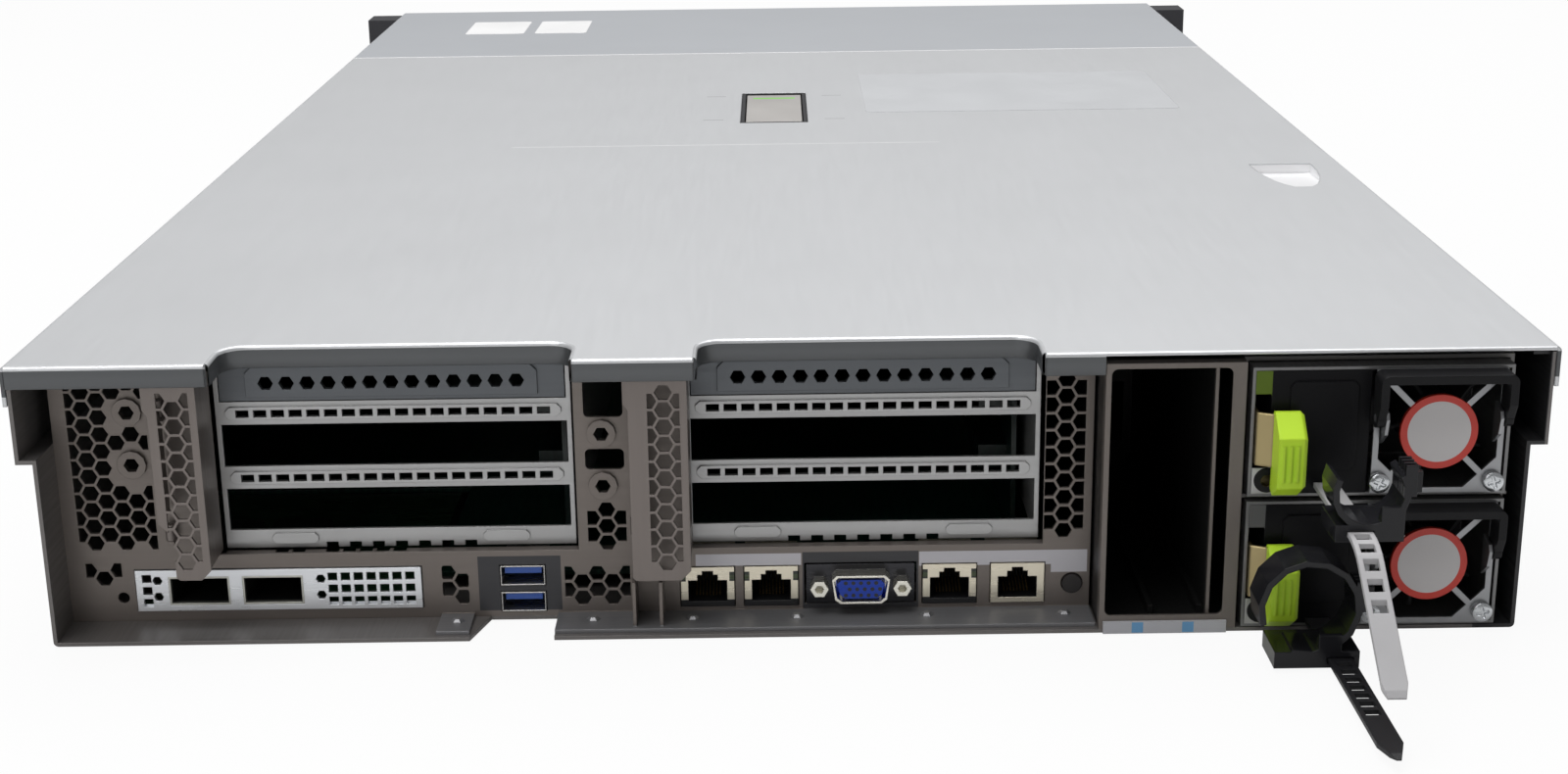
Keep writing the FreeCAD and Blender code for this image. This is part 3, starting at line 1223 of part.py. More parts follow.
def build():
    """Every node of the server, by name."""
    nodes = {
        "chassis_base": chassis_base(),
        "rear_panel": rear_panel(),
        "front_cover": front_cover(),
        "top_cover": top_cover(),
        "cover_latch_housing": latch_housing(),
        "cover_latch_lever": cover_latch_lever(),
        "riser_cage_left": riser_cage(cage_left_x[0]),
        "riser_cage_right": riser_cage(cage_left_x[1]),
        "slot_blanks": slot_blanks(),
        "riser_boards": riser_boards(),
        "card_retainer_left": card_retainer(retainer_left_x, retainer_bottoms[0], 4.0),
        "card_retainer_right": card_retainer(retainer_right_x, retainer_bottoms[1], 0.0),
        "network_card": network_card(),
        "module_cages": module_cages(),
        "usb_ports": usb_ports(),
        "rj45_jacks": rj45_jacks(),
        "vga_port": vga_port(),
        "id_button": id_button(),
        "floor_rivets": floor_rivets(),
        "rear_drive_bay": rear_drive_bay(),
        "psu_bay": psu_bay(),
        "system_board": system_board(),
        "cpu_heatsinks": cpu_heatsinks(),
        "memory_modules": memory_modules(),
        "air_baffle": air_baffle(),
        "fan_tray": fan_tray(),
        "fan_frames": fan_frames(),
        "storage_controller": storage_controller(),
        "drive_cage": drive_cage(),
        "drive_backplane": drive_backplane(),
        "ear_left": ear(-1),
        "ear_right": ear(1),
        "slam_latch_left": slam_latch(-1),
        "slam_latch_right": slam_latch(1),
        "power_button": power_button(),
    }
    for k in range(fan_count):
        nodes[f"fan_rotor_{k + 1}"] = case_fan_rotor(k)
    for name, z0, rise, droop in (("upper", psu_upper_z, 3.6, strap_droop), ("lower", psu_lower_z, 1.8, 0)):
        nodes[f"psu_{name}_housing"] = psu_housing(z0)
        nodes[f"psu_{name}_inlet"] = psu_inlet(z0)
        nodes[f"psu_{name}_fan_guard"] = psu_fan_guard(z0)
        nodes[f"psu_{name}_fan_rotor"] = psu_fan_rotor(z0)
        nodes[f"psu_{name}_latch"] = psu_latch(z0)
        nodes[f"psu_{name}_handle"] = psu_handle(z0)
        nodes[f"psu_{name}_strap"] = psu_strap(z0, rise, droop)
        nodes[f"psu_{name}_clamp"] = psu_clamp(z0, rise, name)
    moving = (drive_columns - 1, drive_rows - 1)
    places = [(c, r) for c in range(drive_columns) for r in range(drive_rows) if (c, r) != moving]
    nodes["drive_carriers"] = Part.Compound([piece(c, r, False) for c, r in places
                                             for piece in (carrier, carrier_lever)])
    nodes["drive_carrier"] = carrier(*moving)
    nodes["drive_carrier_lever"] = carrier_lever(*moving)
    return nodes


os.makedirs("parts", exist_ok=True)
for name, shape in build().items():
    shape.exportStep(f"parts/{name}.step")
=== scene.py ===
"""Looks of a 2u rack server, added to its solids. Lengths are metres, and each section
holds one piece of the machine: its sizes, its surface and its finish together."""
import math
import bpy
import numpy as np
from mathutils import Matrix


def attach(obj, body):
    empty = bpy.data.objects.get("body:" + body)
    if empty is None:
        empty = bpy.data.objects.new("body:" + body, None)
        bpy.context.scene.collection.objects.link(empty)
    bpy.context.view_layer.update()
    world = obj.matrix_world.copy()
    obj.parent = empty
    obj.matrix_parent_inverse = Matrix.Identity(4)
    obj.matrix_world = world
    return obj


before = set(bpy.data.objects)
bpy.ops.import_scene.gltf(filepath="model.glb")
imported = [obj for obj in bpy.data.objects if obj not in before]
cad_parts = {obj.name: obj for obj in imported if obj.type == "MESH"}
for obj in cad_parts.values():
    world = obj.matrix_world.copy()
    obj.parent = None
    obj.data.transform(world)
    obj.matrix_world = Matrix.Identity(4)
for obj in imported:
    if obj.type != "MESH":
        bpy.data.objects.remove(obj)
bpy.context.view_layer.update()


# The covers. Two folded trays of zinc-coated sheet steel close the top: the front one is fixed, the
# rear one lifts off. The mill finish is a fine cloudy grain that runs along the sheet.
def blank_material(name):
    """A material with its tree, its shader and the Object coordinates that patterns read."""
    made = bpy.data.materials.new(name)
    made.use_nodes = True
    tree = made.node_tree
    coords = tree.nodes.new("ShaderNodeTexCoord").outputs["Object"]
    return made, tree, tree.nodes["Principled BSDF"], coords


def grain(tree, coords, scale, stretch=(1, 1, 1), detail=3.0):
    """Fractal noise over the coordinates, drawn out along the axes with a small stretch factor."""
    mapping = tree.nodes.new("ShaderNodeMapping")
    mapping.inputs["Scale"].default_value = stretch
    noise = tree.nodes.new("ShaderNodeTexNoise")
    noise.inputs["Scale"].default_value = scale
    noise.inputs["Detail"].default_value = detail
    tree.links.new(coords, mapping.inputs["Vector"])
    tree.links.new(mapping.outputs["Vector"], noise.inputs["Vector"])
    return noise.outputs["Fac"]


def remap(tree, value, low, high, start=0.3, end=0.7):
    """The value carried from start..end to low..high."""
    node = tree.nodes.new("ShaderNodeMapRange")
    for key, number in (("From Min", start), ("From Max", end), ("To Min", low), ("To Max", high)):
        node.inputs[key].default_value = number
    tree.links.new(value, node.inputs["Value"])
    return node.outputs["Result"]


def blended(tree, share, first, second):
    """Colour between first and second; each is a socket or an (r, g, b) triple."""
    node = tree.nodes.new("ShaderNodeMix")
    node.data_type = "RGBA"
    tree.links.new(share, node.inputs["Factor"])
    for key, colour in (("A", first), ("B", second)):
        socket = [s for s in node.inputs if s.name == key and s.type == "RGBA"][0]
        if isinstance(colour, tuple):
            socket.default_value = (*colour, 1)
        else:
            tree.links.new(colour, socket)
    return [s for s in node.outputs if s.type == "RGBA"][0]


def relief(tree, shader, height, distance, strength=0.5, edge=0.0003):
    """Fine unevenness of the surface, distance metres deep, over edges rounded by the radius edge."""
    bump = tree.nodes.new("ShaderNodeBump")
    soft = tree.nodes.new("ShaderNodeBevel")
    soft.samples = 4
    soft.inputs["Radius"].default_value = edge
    tree.links.new(soft.outputs["Normal"], bump.inputs["Normal"])
    bump.inputs["Distance"].default_value = distance
    bump.inputs["Strength"].default_value = strength
    tree.links.new(height, bump.inputs["Height"])
    tree.links.new(bump.outputs["Normal"], shader.inputs["Normal"])


def sheet_metal(name, colour, rough, along="x", metallic=0.85, cloud=0.05, lay=1.0, edge=0.0003):
    """Rolled sheet: clouds of tone about 60 mm across, fine grain along one axis as strong as lay."""
    made, tree, shader, coords = blank_material(name)
    stretch = {"x": (0.04, 1, 1), "y": (1, 0.04, 1), "z": (1, 1, 0.04)}[along]
    lines = grain(tree, coords, 900, stretch)
    clouds = grain(tree, coords, 16)
    dark = tuple(c * (1 - cloud) for c in colour)
    light = tuple(min(1.0, c * (1 + cloud)) for c in colour)
    tree.links.new(blended(tree, clouds, dark, light), shader.inputs["Base Color"])
    tree.links.new(remap(tree, lines, rough - 0.05 * lay, rough + 0.07 * lay), shader.inputs["Roughness"])
    shader.inputs["Metallic"].default_value = metallic
    relief(tree, shader, lines, 0.00003, 0.25 * lay, edge)
    return made


def finish(nodes, made):
    """Gives the named solids their finish."""
    for node in nodes:
        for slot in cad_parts[node].material_slots:
            slot.material = made


# The cover latch. A black moulded tray with a flat grey lever: fine spark-eroded texture, satin.
def moulded(name, colour, rough, texture=0.00004, speckle=0.12, size=2200, edge=0.0005, sheen=0.3):
    """Moulded plastic: an even colour with a fine eroded texture and slight sheen changes."""
    made, tree, shader, coords = blank_material(name)
    dots = grain(tree, coords, size, detail=1.0)
    patches = grain(tree, coords, 40)
    dark = tuple(c * (1 - speckle) for c in colour)
    light = tuple(min(1.0, c * (1 + speckle)) for c in colour)
    tree.links.new(blended(tree, patches, dark, light), shader.inputs["Base Color"])
    tree.links.new(remap(tree, patches, rough - 0.04, rough + 0.05), shader.inputs["Roughness"])
    shader.inputs["Specular IOR Level"].default_value = sheen
    relief(tree, shader, dots, texture, 0.4, edge)
    return made


finish(["cover_latch_housing"], moulded("Latch_Tray_Black", (0.025, 0.025, 0.028), 0.5))


# The marks on the covers and the lever. Painted shade on the rear and notch flanges, a painted highlight
# along a crease, four small pressed dashes painted darker as their shade, a painted highlight in the scoop
# and another along the seam lie in zones of the sheet, and the lever has a green strip; each zone has its
# own colour and metallic share.
def between(tree, value, low, high):
    """1 where the value lies between low and high, else 0."""
    above = tree.nodes.new("ShaderNodeMath")
    below = tree.nodes.new("ShaderNodeMath")
    both = tree.nodes.new("ShaderNodeMath")
    above.operation, below.operation, both.operation = "GREATER_THAN", "LESS_THAN", "MULTIPLY"
    for node, limit in ((above, low), (below, high)):
        tree.links.new(value, node.inputs[0])
        node.inputs[1].default_value = limit
    tree.links.new(above.outputs[0], both.inputs[0])
    tree.links.new(below.outputs[0], both.inputs[1])
    return both.outputs[0]


def combine(tree, operation, masks):
    """The masks joined by one operation, such as MULTIPLY or MAXIMUM."""
    result = masks[0]
    for mask in masks[1:]:
        node = tree.nodes.new("ShaderNodeMath")
        node.operation = operation
        tree.links.new(result, node.inputs[0])
        tree.links.new(mask, node.inputs[1])
        result = node.outputs[0]
    return result


def within(tree, coords, **limits):
    """1 inside the box given by the limits x, y and z, each (low, high) in metres."""
    parts = tree.nodes.new("ShaderNodeSeparateXYZ")
    tree.links.new(coords, parts.inputs[0])
    masks = [between(tree, parts.outputs[key.upper()], *span) for key, span in limits.items()]
    return combine(tree, "MULTIPLY", masks)


def round_zone(tree, coords, centre, radius):
    """1 within radius of the line through centre (x, z) along Y."""
    flat = tree.nodes.new("ShaderNodeVectorMath")
    flat.operation = "MULTIPLY"
    flat.inputs[1].default_value = (1, 0, 1)
    reach = tree.nodes.new("ShaderNodeVectorMath")
    reach.operation = "DISTANCE"
    reach.inputs[1].default_value = (centre[0], 0, centre[1])
    tree.links.new(coords, flat.inputs[0])
    tree.links.new(flat.outputs[0], reach.inputs[0])
    return between(tree, reach.outputs["Value"], -1, radius)


def painted(made, zones):
    """Other colours inside zones of a material, real finishes as well as painted shade and highlights: each
    is (list of zones, colour, metallic); a zone is a dict of box limits or a tuple (centre, radius) of a
    round zone along Y."""
    tree = made.node_tree
    shader = tree.nodes["Principled BSDF"]
    coords = [node for node in tree.nodes if node.type == "TEX_COORD"][0].outputs["Object"]
    links = {link.to_socket.name: link.from_socket for link in tree.links if link.to_node == shader}
    colour = links["Base Color"]
    metal = tree.nodes.new("ShaderNodeValue").outputs[0]
    metal.default_value = shader.inputs["Metallic"].default_value
    for places, tone, metallic in zones:
        masks = [within(tree, coords, **place) if isinstance(place, dict)
                 else round_zone(tree, coords, *place) for place in places]
        mask = combine(tree, "MAXIMUM", masks)
        colour = blended(tree, mask, colour, tone)
        level = tree.nodes.new("ShaderNodeMix")
        level.inputs["B"].default_value = metallic
        tree.links.new(mask, level.inputs["Factor"])
        tree.links.new(metal, level.inputs["A"])
        metal = level.outputs["Result"]
    tree.links.new(colour, shader.inputs["Base Color"])
    tree.links.new(metal, shader.inputs["Metallic"])
    return made


rear_edge = -0.3685
cover_top = 0.0871
shaded_steel = (0.11, 0.115, 0.12)
cover_steel = sheet_metal("Cover_Steel", (0.66, 0.67, 0.685), 0.40, "y", 0.55, 0.03, 0.2, 0.001)
# Painted shade: the rear flange and the faces of the notches below the lid's edge are coloured dark steel.
cover_shade = [dict(y=(rear_edge - 0.001, rear_edge + 0.0004), z=(0.0780, 0.0857)),
               dict(y=(rear_edge + 0.0185, rear_edge + 0.0194), z=(0.0780, 0.0857), x=(-0.168, 0.080))]
# Painted highlight: the sunk scoop near the right edge is coloured pale, standing in for the light on its
# hollow.
scoop_highlight = [dict(x=(0.1855, 0.2135), y=(rear_edge + 0.2145, rear_edge + 0.2625), z=(0.0800, 0.0866))]
# Painted highlight: a pale line where light catches a shallow crease across the lid.
crease_highlight = [dict(y=(rear_edge + 0.3146, rear_edge + 0.3154), x=(-0.112, 0.068), z=(0.087, 1))]
# Painted shade: four small pressed dashes beside the latch are coloured darker than the sheet.
dash_shade = [dict(x=(x - 0.0045, x + 0.0045), y=(rear_edge + d - 0.0006, rear_edge + d + 0.0006), z=(0.087, 1))
         for x in (-0.0285, 0.0255) for d in (0.372, 0.432)]
finish(["top_cover"], painted(cover_steel, [
    (cover_shade, shaded_steel, 0.6), (crease_highlight, (0.80, 0.80, 0.81), 0.3),
    (dash_shade, (0.42, 0.42, 0.43), 0.4), (scoop_highlight, (0.86, 0.86, 0.87), 0.25)]))
# Painted highlight: a pale line along the front cover's rear edge, where the raised seam catches the light.
seam_highlight = [dict(y=(rear_edge + 0.5639, rear_edge + 0.5655), z=(0.0860, 1))]
front_steel = sheet_metal("Front_Cover_Steel", (0.57, 0.59, 0.62), 0.40, "x", 0.55, 0.03, 0.2, 0.001)
finish(["front_cover"], painted(front_steel, [(seam_highlight, (0.88, 0.88, 0.89), 0.2)]))
lever_end = rear_edge + 0.4378
green_strip = [dict(y=(lever_end - 0.0105, lever_end - 0.0075), x=(-0.0112, 0.0082), z=(0.0850, 0.0880))]
finish(["cover_latch_lever"], painted(moulded("Latch_Lever_Grey", (0.40, 0.385, 0.37), 0.35), [
    (green_strip, (0.22, 0.60, 0.10), 0.0)]))


# The chassis tray. Bronze-grey coated sheet steel carries the board and all bays; near the rear, the
# inner face of the wall beside the power supplies is painted near black as shade in the narrow gap there.
finish(["chassis_base"], painted(sheet_metal("Chassis_Steel", (0.17, 0.16, 0.155), 0.42, "y", 0.6), [
    ([dict(x=(0.205, 0.2216), y=(-1, rear_edge + 0.04))], (0.03, 0.03, 0.032), 0.3)]))


# The rear panel, card retainers, cages and bays. Sheet steel, most of it warmer and duller than the
# covers; the card's bracket and the module cages are bright, and blank labels lie beside the sockets.
# Inside the module cages and the rear drive bay the steel is painted near black as shade.
panel_face = rear_edge + 0.016
face = (panel_face - 0.0002, panel_face + 0.0001)
dark_labels = [dict(x=(-0.0924, -0.0673), y=face, z=(0.0031, 0.0207)),
               dict(x=(0.0058, 0.0409), y=face, z=(0.0019, 0.0207))]
pale_labels = [dict(x=(-0.0265, 0.0054), y=face, z=(0.0166, 0.0204)),
               dict(x=(0.0411, 0.0919), y=face, z=(0.0158, 0.0204)),
               dict(x=(0.0810, 0.0919), y=face, z=(0.0132, 0.0204))]
finish(["rear_panel"], painted(sheet_metal("Panel_Steel", (0.185, 0.162, 0.147), 0.40, "x", 0.6), [
    ([dict(y=(-1, panel_face - 0.0005), z=(0, 0.0026))], (0.24, 0.24, 0.25), 0.7),
    (dark_labels, (0.032, 0.032, 0.036), 0.0), (pale_labels, (0.50, 0.49, 0.52), 0.0)]))
retainer_steel = sheet_metal("Retainer_Steel", (0.20, 0.175, 0.162), 0.40, "z", 0.6)
finish(["card_retainer_left", "card_retainer_right"], retainer_steel)
cage_steel = sheet_metal("Cage_Steel", (0.42, 0.42, 0.42), 0.36, "x", 0.75)
finish(["riser_cage_left", "riser_cage_right"], cage_steel)
finish(["slot_blanks"], sheet_metal("Blank_Steel", (0.12, 0.128, 0.138), 0.4, "x", 0.7))
finish(["floor_rivets"], sheet_metal("Rivet_Steel", (0.30, 0.30, 0.31), 0.42, "x", 0.8))
finish(["network_card"], painted(sheet_metal("Bracket_Steel", (0.80, 0.82, 0.85), 0.3, "x", 0.75), [
    ([dict(y=(panel_face + 0.0008, 1))], (0.01, 0.035, 0.015), 0.0)]))
# Painted shade: past the panel face the module cages are coloured near black.
finish(["module_cages"], painted(sheet_metal("Module_Cage_Steel", (0.55, 0.55, 0.50), 0.35, "y", 0.9), [
    ([dict(y=(panel_face + 0.001, 1))], (0.012, 0.012, 0.012), 0.3)]))
finish(["psu_bay", "drive_cage"], sheet_metal("Bay_Steel", (0.16, 0.155, 0.15), 0.42, "y", 0.6))
bay_squares = [dict(x=(x - 0.0017, x + 0.0017), y=(-1, rear_edge), z=(0.0003, 0.0036))
               for x in (0.1050, 0.1200)]
# Painted shade: the bay's steel deeper than 4 mm from the rear edge is coloured near black.
bay_inside_shade = [dict(y=(rear_edge + 0.004, 1))]
bay_strip = [dict(y=(-1, rear_edge), z=(-1, 0.004))]
finish(["rear_drive_bay"], painted(sheet_metal("Drive_Bay_Steel", (0.17, 0.15, 0.137), 0.42, "z", 0.6), [
    (bay_inside_shade, (0.012, 0.012, 0.012), 0.3), (bay_strip, (0.42, 0.42, 0.45), 0.0),
    (bay_squares, (0.12, 0.30, 0.52), 0.0)]))


# The sockets. Shells of drawn steel round coloured plastic, so each solid has two or three finishes,
# told apart by where they lie; the throats of the USB sockets and the pin holes of the video socket are
# painted near black as shade.
usb_z = (0.0029, 0.0114)
behind = (panel_face + 0.0012, 1)
# Painted shade: the inside of each USB socket's throat is coloured near black.
throat_shade = [dict(x=(-0.0853, -0.0725), y=behind, z=(z + 0.0004, z + 0.0058)) for z in usb_z]
tongues = [dict(x=(-0.0847, -0.0731), y=(panel_face + 0.001, 1), z=(z + 0.0031, z + 0.0052)) for z in usb_z]
finish(["usb_ports"], painted(sheet_metal("Usb_Socket", (0.60, 0.59, 0.57), 0.28, "x", 0.95), [
    (throat_shade, (0.015, 0.015, 0.018), 0.0), (tongues, (0.03, 0.10, 0.42), 0.0)]))
jack_x = (-0.0230, -0.0037, 0.0503, 0.0709)
wells = [dict(x=(x - 0.00595, x + 0.00595), y=(panel_face - 0.0002, 1), z=(0.00525, 0.0152)) for x in jack_x]
feet = [dict(z=(0, 0.0058), x=(-0.032, 0.060))]
lamps = [dict(x=(x + side * 0.0074 - 0.0008, x + side * 0.0074 + 0.0008),
              y=(panel_face - 0.001, panel_face - 0.0003), z=(0.0118, 0.0148))
         for x in jack_x[:3] for side in (-1, 1)]
lit = [dict(lamp, z=(0.0124, 0.0138)) for lamp in lamps]
finish(["rj45_jacks"], painted(sheet_metal("Jack_Shield", (0.80, 0.74, 0.60), 0.3, "x", 0.8), [
    (feet, (0.012, 0.012, 0.013), 0.0), (lamps, (0.02, 0.025, 0.02), 0.0), (lit, (0.05, 0.07, 0.03), 0.0),
    (wells, (0.008, 0.008, 0.009), 0.0)]))
video = (0.0233, 0.0106)
flange = [dict(y=(panel_face - 0.0005, 1))]
insert = [dict(x=(video[0] - 0.0074, video[0] + 0.0074), y=(panel_face - 0.0055, panel_face),
               z=(0.0073, 0.0139))]
hole_pitch, row_pitch, hole_radius = 0.00229, 0.00198, 0.00062
# Painted shade: the pin holes in the blue insert are coloured near black.
hole_shade = [((video[0] + hole_pitch * (k - 2 + 0.5 * (row % 2)), video[1] + row_pitch * (1 - row)), hole_radius)
         for row in range(3) for k in range(5)]
video_tone = painted(sheet_metal("Video_Socket", (0.82, 0.80, 0.72), 0.25, "x", 0.95), [
    (flange, (0.05, 0.05, 0.055), 0.0), (insert, (0.03, 0.06, 0.33), 0.0)])
finish(["vga_port"], painted(video_tone, [(hole_shade, (0.004, 0.004, 0.01), 0.0)]))
finish(["id_button"], moulded("Button_Dark", (0.025, 0.022, 0.022), 0.3))


# The boards. Green resin laminate with copper runs under the mask, carried on hexagonal spacers.
def laminate(name, colour):
    """Circuit board: copper runs about 3 mm apart show through the lacquer as lighter lines."""
    made, tree, shader, coords = blank_material(name)
    runs = tree.nodes.new("ShaderNodeTexWave")
    runs.inputs["Scale"].default_value = 95
    runs.inputs["Distortion"].default_value = 7
    tree.links.new(coords, runs.inputs["Vector"])
    light = tuple(c * 1.6 for c in colour)
    tree.links.new(blended(tree, remap(tree, runs.outputs["Fac"], 0, 1, 0.6, 0.8), colour, light),
                   shader.inputs["Base Color"])
    shader.inputs["Roughness"].default_value = 0.32
    relief(tree, shader, runs.outputs["Fac"], 0.00004)
    return made


board_green = laminate("Board_Green", (0.004, 0.022, 0.014))
finish(["system_board", "storage_controller", "drive_backplane"], board_green)
finish(["riser_boards"], laminate("Riser_Green", (0.003, 0.010, 0.008)))
finish(["memory_modules"], laminate("Memory_Green", (0.008, 0.06, 0.03)))
finish(["cpu_heatsinks"], sheet_metal("Cooler_Aluminium", (0.78, 0.78, 0.79), 0.3, "z", 0.95))
finish(["air_baffle", "fan_tray"], moulded("Duct_Black", (0.02, 0.02, 0.02), 0.5))
finish(["fan_frames"], moulded("Fan_Frame_Black", (0.025, 0.025, 0.025), 0.45))
rotors = [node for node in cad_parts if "fan_rotor" in node]
finish(rotors, moulded("Rotor_Black", (0.015, 0.015, 0.016), 0.35))


# The front. Carriers, their levers and the ears are black, the power button light grey.
finish(["drive_carriers", "drive_carrier"], moulded("Carrier_Black", (0.03, 0.03, 0.034), 0.45))
finish(["drive_carrier_lever"], moulded("Carrier_Lever_Black", (0.035, 0.035, 0.04), 0.4))
finish(["ear_left", "ear_right"], moulded("Ear_Black", (0.04, 0.04, 0.045), 0.5))
finish(["slam_latch_left", "slam_latch_right"], moulded("Slam_Latch_Black", (0.03, 0.03, 0.034), 0.4))
finish(["power_button"], moulded("Power_Button_Grey", (0.42, 0.42, 0.43), 0.35))


# The power supplies. A zinc-plated case holds a black inlet module and a pressed fan guard with a pale
# disc; the tab is bright green, the folding handle black, the cable strap nylon with a glossy clamp.
def guard_steel(name, centre):
    """Plated steel with a pale disc round centre (x, z) and a red ring round the disc's edge."""
    ring_radius, disc_radius, painted_radius = 0.01145, 0.0092, 0.01128
    made, tree, shader, coords = blank_material(name)
    clouds = grain(tree, coords, 300)
    colour = blended(tree, clouds, (0.26, 0.27, 0.28), (0.38, 0.38, 0.39))
    for radius, tone in ((ring_radius, (0.56, 0.035, 0.02)), (disc_radius, (0.55, 0.53, 0.53))):
        colour = blended(tree, round_zone(tree, coords, centre, radius), colour, tone)
    tree.links.new(colour, shader.inputs["Base Color"])
    plate = round_zone(tree, coords, centre, painted_radius)
    tree.links.new(remap(tree, plate, 0.9, 0.0, 0, 1), shader.inputs["Metallic"])
    tree.links.new(remap(tree, clouds, 0.28, 0.42), shader.inputs["Roughness"])
    relief(tree, shader, clouds, 0.00002)
    return made


fan_axis = 0.1902
unit_base = {"lower": 0.0015, "upper": 0.0425}
# Painted shade: inside the mouth of each supply's case the steel is coloured near black.
case_mouth_shade = [dict(x=(0.1372, 0.2100), y=(rear_edge + 0.0005, rear_edge + 0.0345), z=z)
              for z in ((0.003, 0.0397), (0.044, 0.0807))]
case_steel = painted(sheet_metal("Supply_Box_Steel", (0.20, 0.20, 0.20), 0.35, "y", 0.8), [
    (case_mouth_shade, (0.012, 0.012, 0.013), 0.0)])
handle_black = moulded("Handle_Black", (0.010, 0.010, 0.011), 0.30, 0.00001, sheen=0.15)
block_tone = {"lower": (0.10, 0.10, 0.10), "upper": (0.10, 0.15, 0.02)}
strap_tone = {"lower": (0.014, 0.014, 0.016), "upper": (0.42, 0.415, 0.425)}
clamp_black = moulded("Clamp_Black", (0.012, 0.012, 0.014), 0.16, 0.000005)
for unit, base in unit_base.items():
    finish([f"psu_{unit}_housing"], case_steel)
    ring = (0.1412, base + 0.0052)
    plate = [dict(x=(0.1360, 0.1462), y=(-1, rear_edge - 0.0002), z=(base, base + 0.0102))]
    block = [dict(x=(0.1360, 0.14145), y=(-1, rear_edge + 0.011), z=(base + 0.0310, base + 0.039))]
    blades = [dict(x=(0.1521, 0.1604), y=(rear_edge + 0.0045, rear_edge + 0.0195),
                   z=(base + 0.0135, base + 0.0299))]
    inlet_black = moulded(f"Inlet_Black_{unit}", (0.005, 0.005, 0.006), 0.34, sheen=0.12)
    finish([f"psu_{unit}_inlet"], painted(inlet_black, [
        (plate, (0.45, 0.45, 0.44), 0.8), ([(ring, 0.0038)], (0.012, 0.012, 0.013), 0.0),
        ([(ring, 0.00185)], (0.10, 0.08, 0.04), 0.9), (block, block_tone[unit], 0.0),
        (blades, (0.55, 0.52, 0.45), 0.9)]))
    finish([f"psu_{unit}_fan_guard"], guard_steel(f"Guard_Steel_{unit}", (fan_axis, base + 0.0197)))
    leaf = [dict(y=(rear_edge - 0.0027, 1)), dict(x=(0, 0.14155), y=(rear_edge - 0.006, 1))]
    tab_green = moulded(f"Tab_Green_{unit}", (0.52, 0.78, 0.04), 0.32, 0.00002, 0.05, 2200, 0.0011)
    finish([f"psu_{unit}_latch"], painted(tab_green, [
        (leaf, (0.36, 0.29, 0.15), 0.95)]))
    finish([f"psu_{unit}_handle"], handle_black)
    finish([f"psu_{unit}_strap"], moulded(f"Strap_Nylon_{unit}", strap_tone[unit], 0.42))
    finish([f"psu_{unit}_clamp"], clamp_black)


# The guard's screws. Zinc-plated pan heads with a cross recess hold each fan guard to its case.
def mesh_piece(name, points, faces, made, body):
    """An object of the points and faces with one finish, which moves with the named body."""
    shape = bpy.data.meshes.new(name)
    shape.from_pydata(np.asarray(points, float).reshape(-1, 3).tolist(), [],
                      [tuple(map(int, face)) for face in faces])
    shape.materials.append(made)
    shape.validate()
    piece = bpy.data.objects.new(name, shape)
    bpy.context.scene.collection.objects.link(piece)
    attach(piece, body)
    return piece


def grid_faces(rows, columns, closed=False, start=0):
    """Quads of a grid of rows by columns points; closed joins the last column to the first."""
    i, j = np.meshgrid(np.arange(rows - 1), np.arange(columns if closed else columns - 1), indexing="ij")
    k = (j + 1) % columns
    quads = np.stack([i * columns + j, (i + 1) * columns + j, (i + 1) * columns + k, i * columns + k], -1)
    return (quads.reshape(-1, 4) + start).tolist()


def screw_head(centre, radius, dome, turn):
    """Pan head along Y. Polar grid: the height falls from the dome as the fourth power of the radius,
    less a cross pocket with sloped edges, whose sizes are shares of the radius and the dome; the last
    row goes down the side."""
    arm_half, arm_reach, side_slope, end_slope, pocket_depth = 0.17, 0.66, 0.05, 0.08, 0.9
    side_foot = -0.0006
    share = np.concatenate([np.linspace(0, 0.96, 30), [1.0, 1.0]])
    angle = np.linspace(0, 2 * np.pi, 96, endpoint=False)
    r, t = np.meshgrid(share, angle, indexing="ij")
    a, b = np.abs(r * np.cos(t + turn)), np.abs(r * np.sin(t + turn))
    arm = np.minimum(a, b)
    pocket = np.clip((arm_half - arm) / side_slope, 0, 1) * np.clip((arm_reach - r) / end_slope, 0, 1)
    tall = dome * (1 - 0.75 * r ** 4) - pocket_depth * dome * pocket
    tall[-1] = side_foot
    points = np.stack([centre[0] + radius * r * np.cos(t), centre[1] - tall,
                       centre[2] + radius * r * np.sin(t)], -1)
    return points, grid_faces(len(share), len(angle), True)


head_radius, head_dome = 0.00295, 0.0007
screw_side, screw_rise, guard_face = 0.0166, 0.0045, rear_edge - 0.0026
first_turn, turn_step = 0.4, 0.9
zinc = sheet_metal("Screw_Zinc", (0.62, 0.64, 0.66), 0.22, "x", 0.95)
for unit, base in unit_base.items():
    for number, side in enumerate((-1, 1)):
        middle = (fan_axis + side * screw_side, guard_face, base + screw_rise)
        dome = screw_head(middle, head_radius, head_dome, first_turn + turn_step * number)
        head = mesh_piece(f"Screw_{unit}_{number}", *dome, zinc, f"psu_{unit}")
        head.data.shade_smooth()


# The cover's rear hem. The sheet is rolled down along the rear edge and round both card notches, which
# leaves a soft bright bend over a flange darkened with painted shade.
def hem(name, path, profile, made, body):
    """Sweep: each (out, z) point of the profile is carried along the flat path, pushed out by out along
    the path's normal, which points to the right of the direction of travel."""
    path, profile = np.array(path, float), np.array(profile, float)
    step = np.gradient(path, axis=0)
    normal = np.column_stack([step[:, 1], -step[:, 0]]) / np.linalg.norm(step, axis=1)[:, None]
    flat = path[:, None, :] + profile[None, :, :1] * normal[:, None, :]
    points = np.concatenate([flat, np.broadcast_to(profile[None, :, 1:], (*flat.shape[:2], 1))], -1)
    piece = mesh_piece(name, points, [f[::-1] for f in grid_faces(len(path), len(profile))], made, body)
    piece.data.shade_smooth()


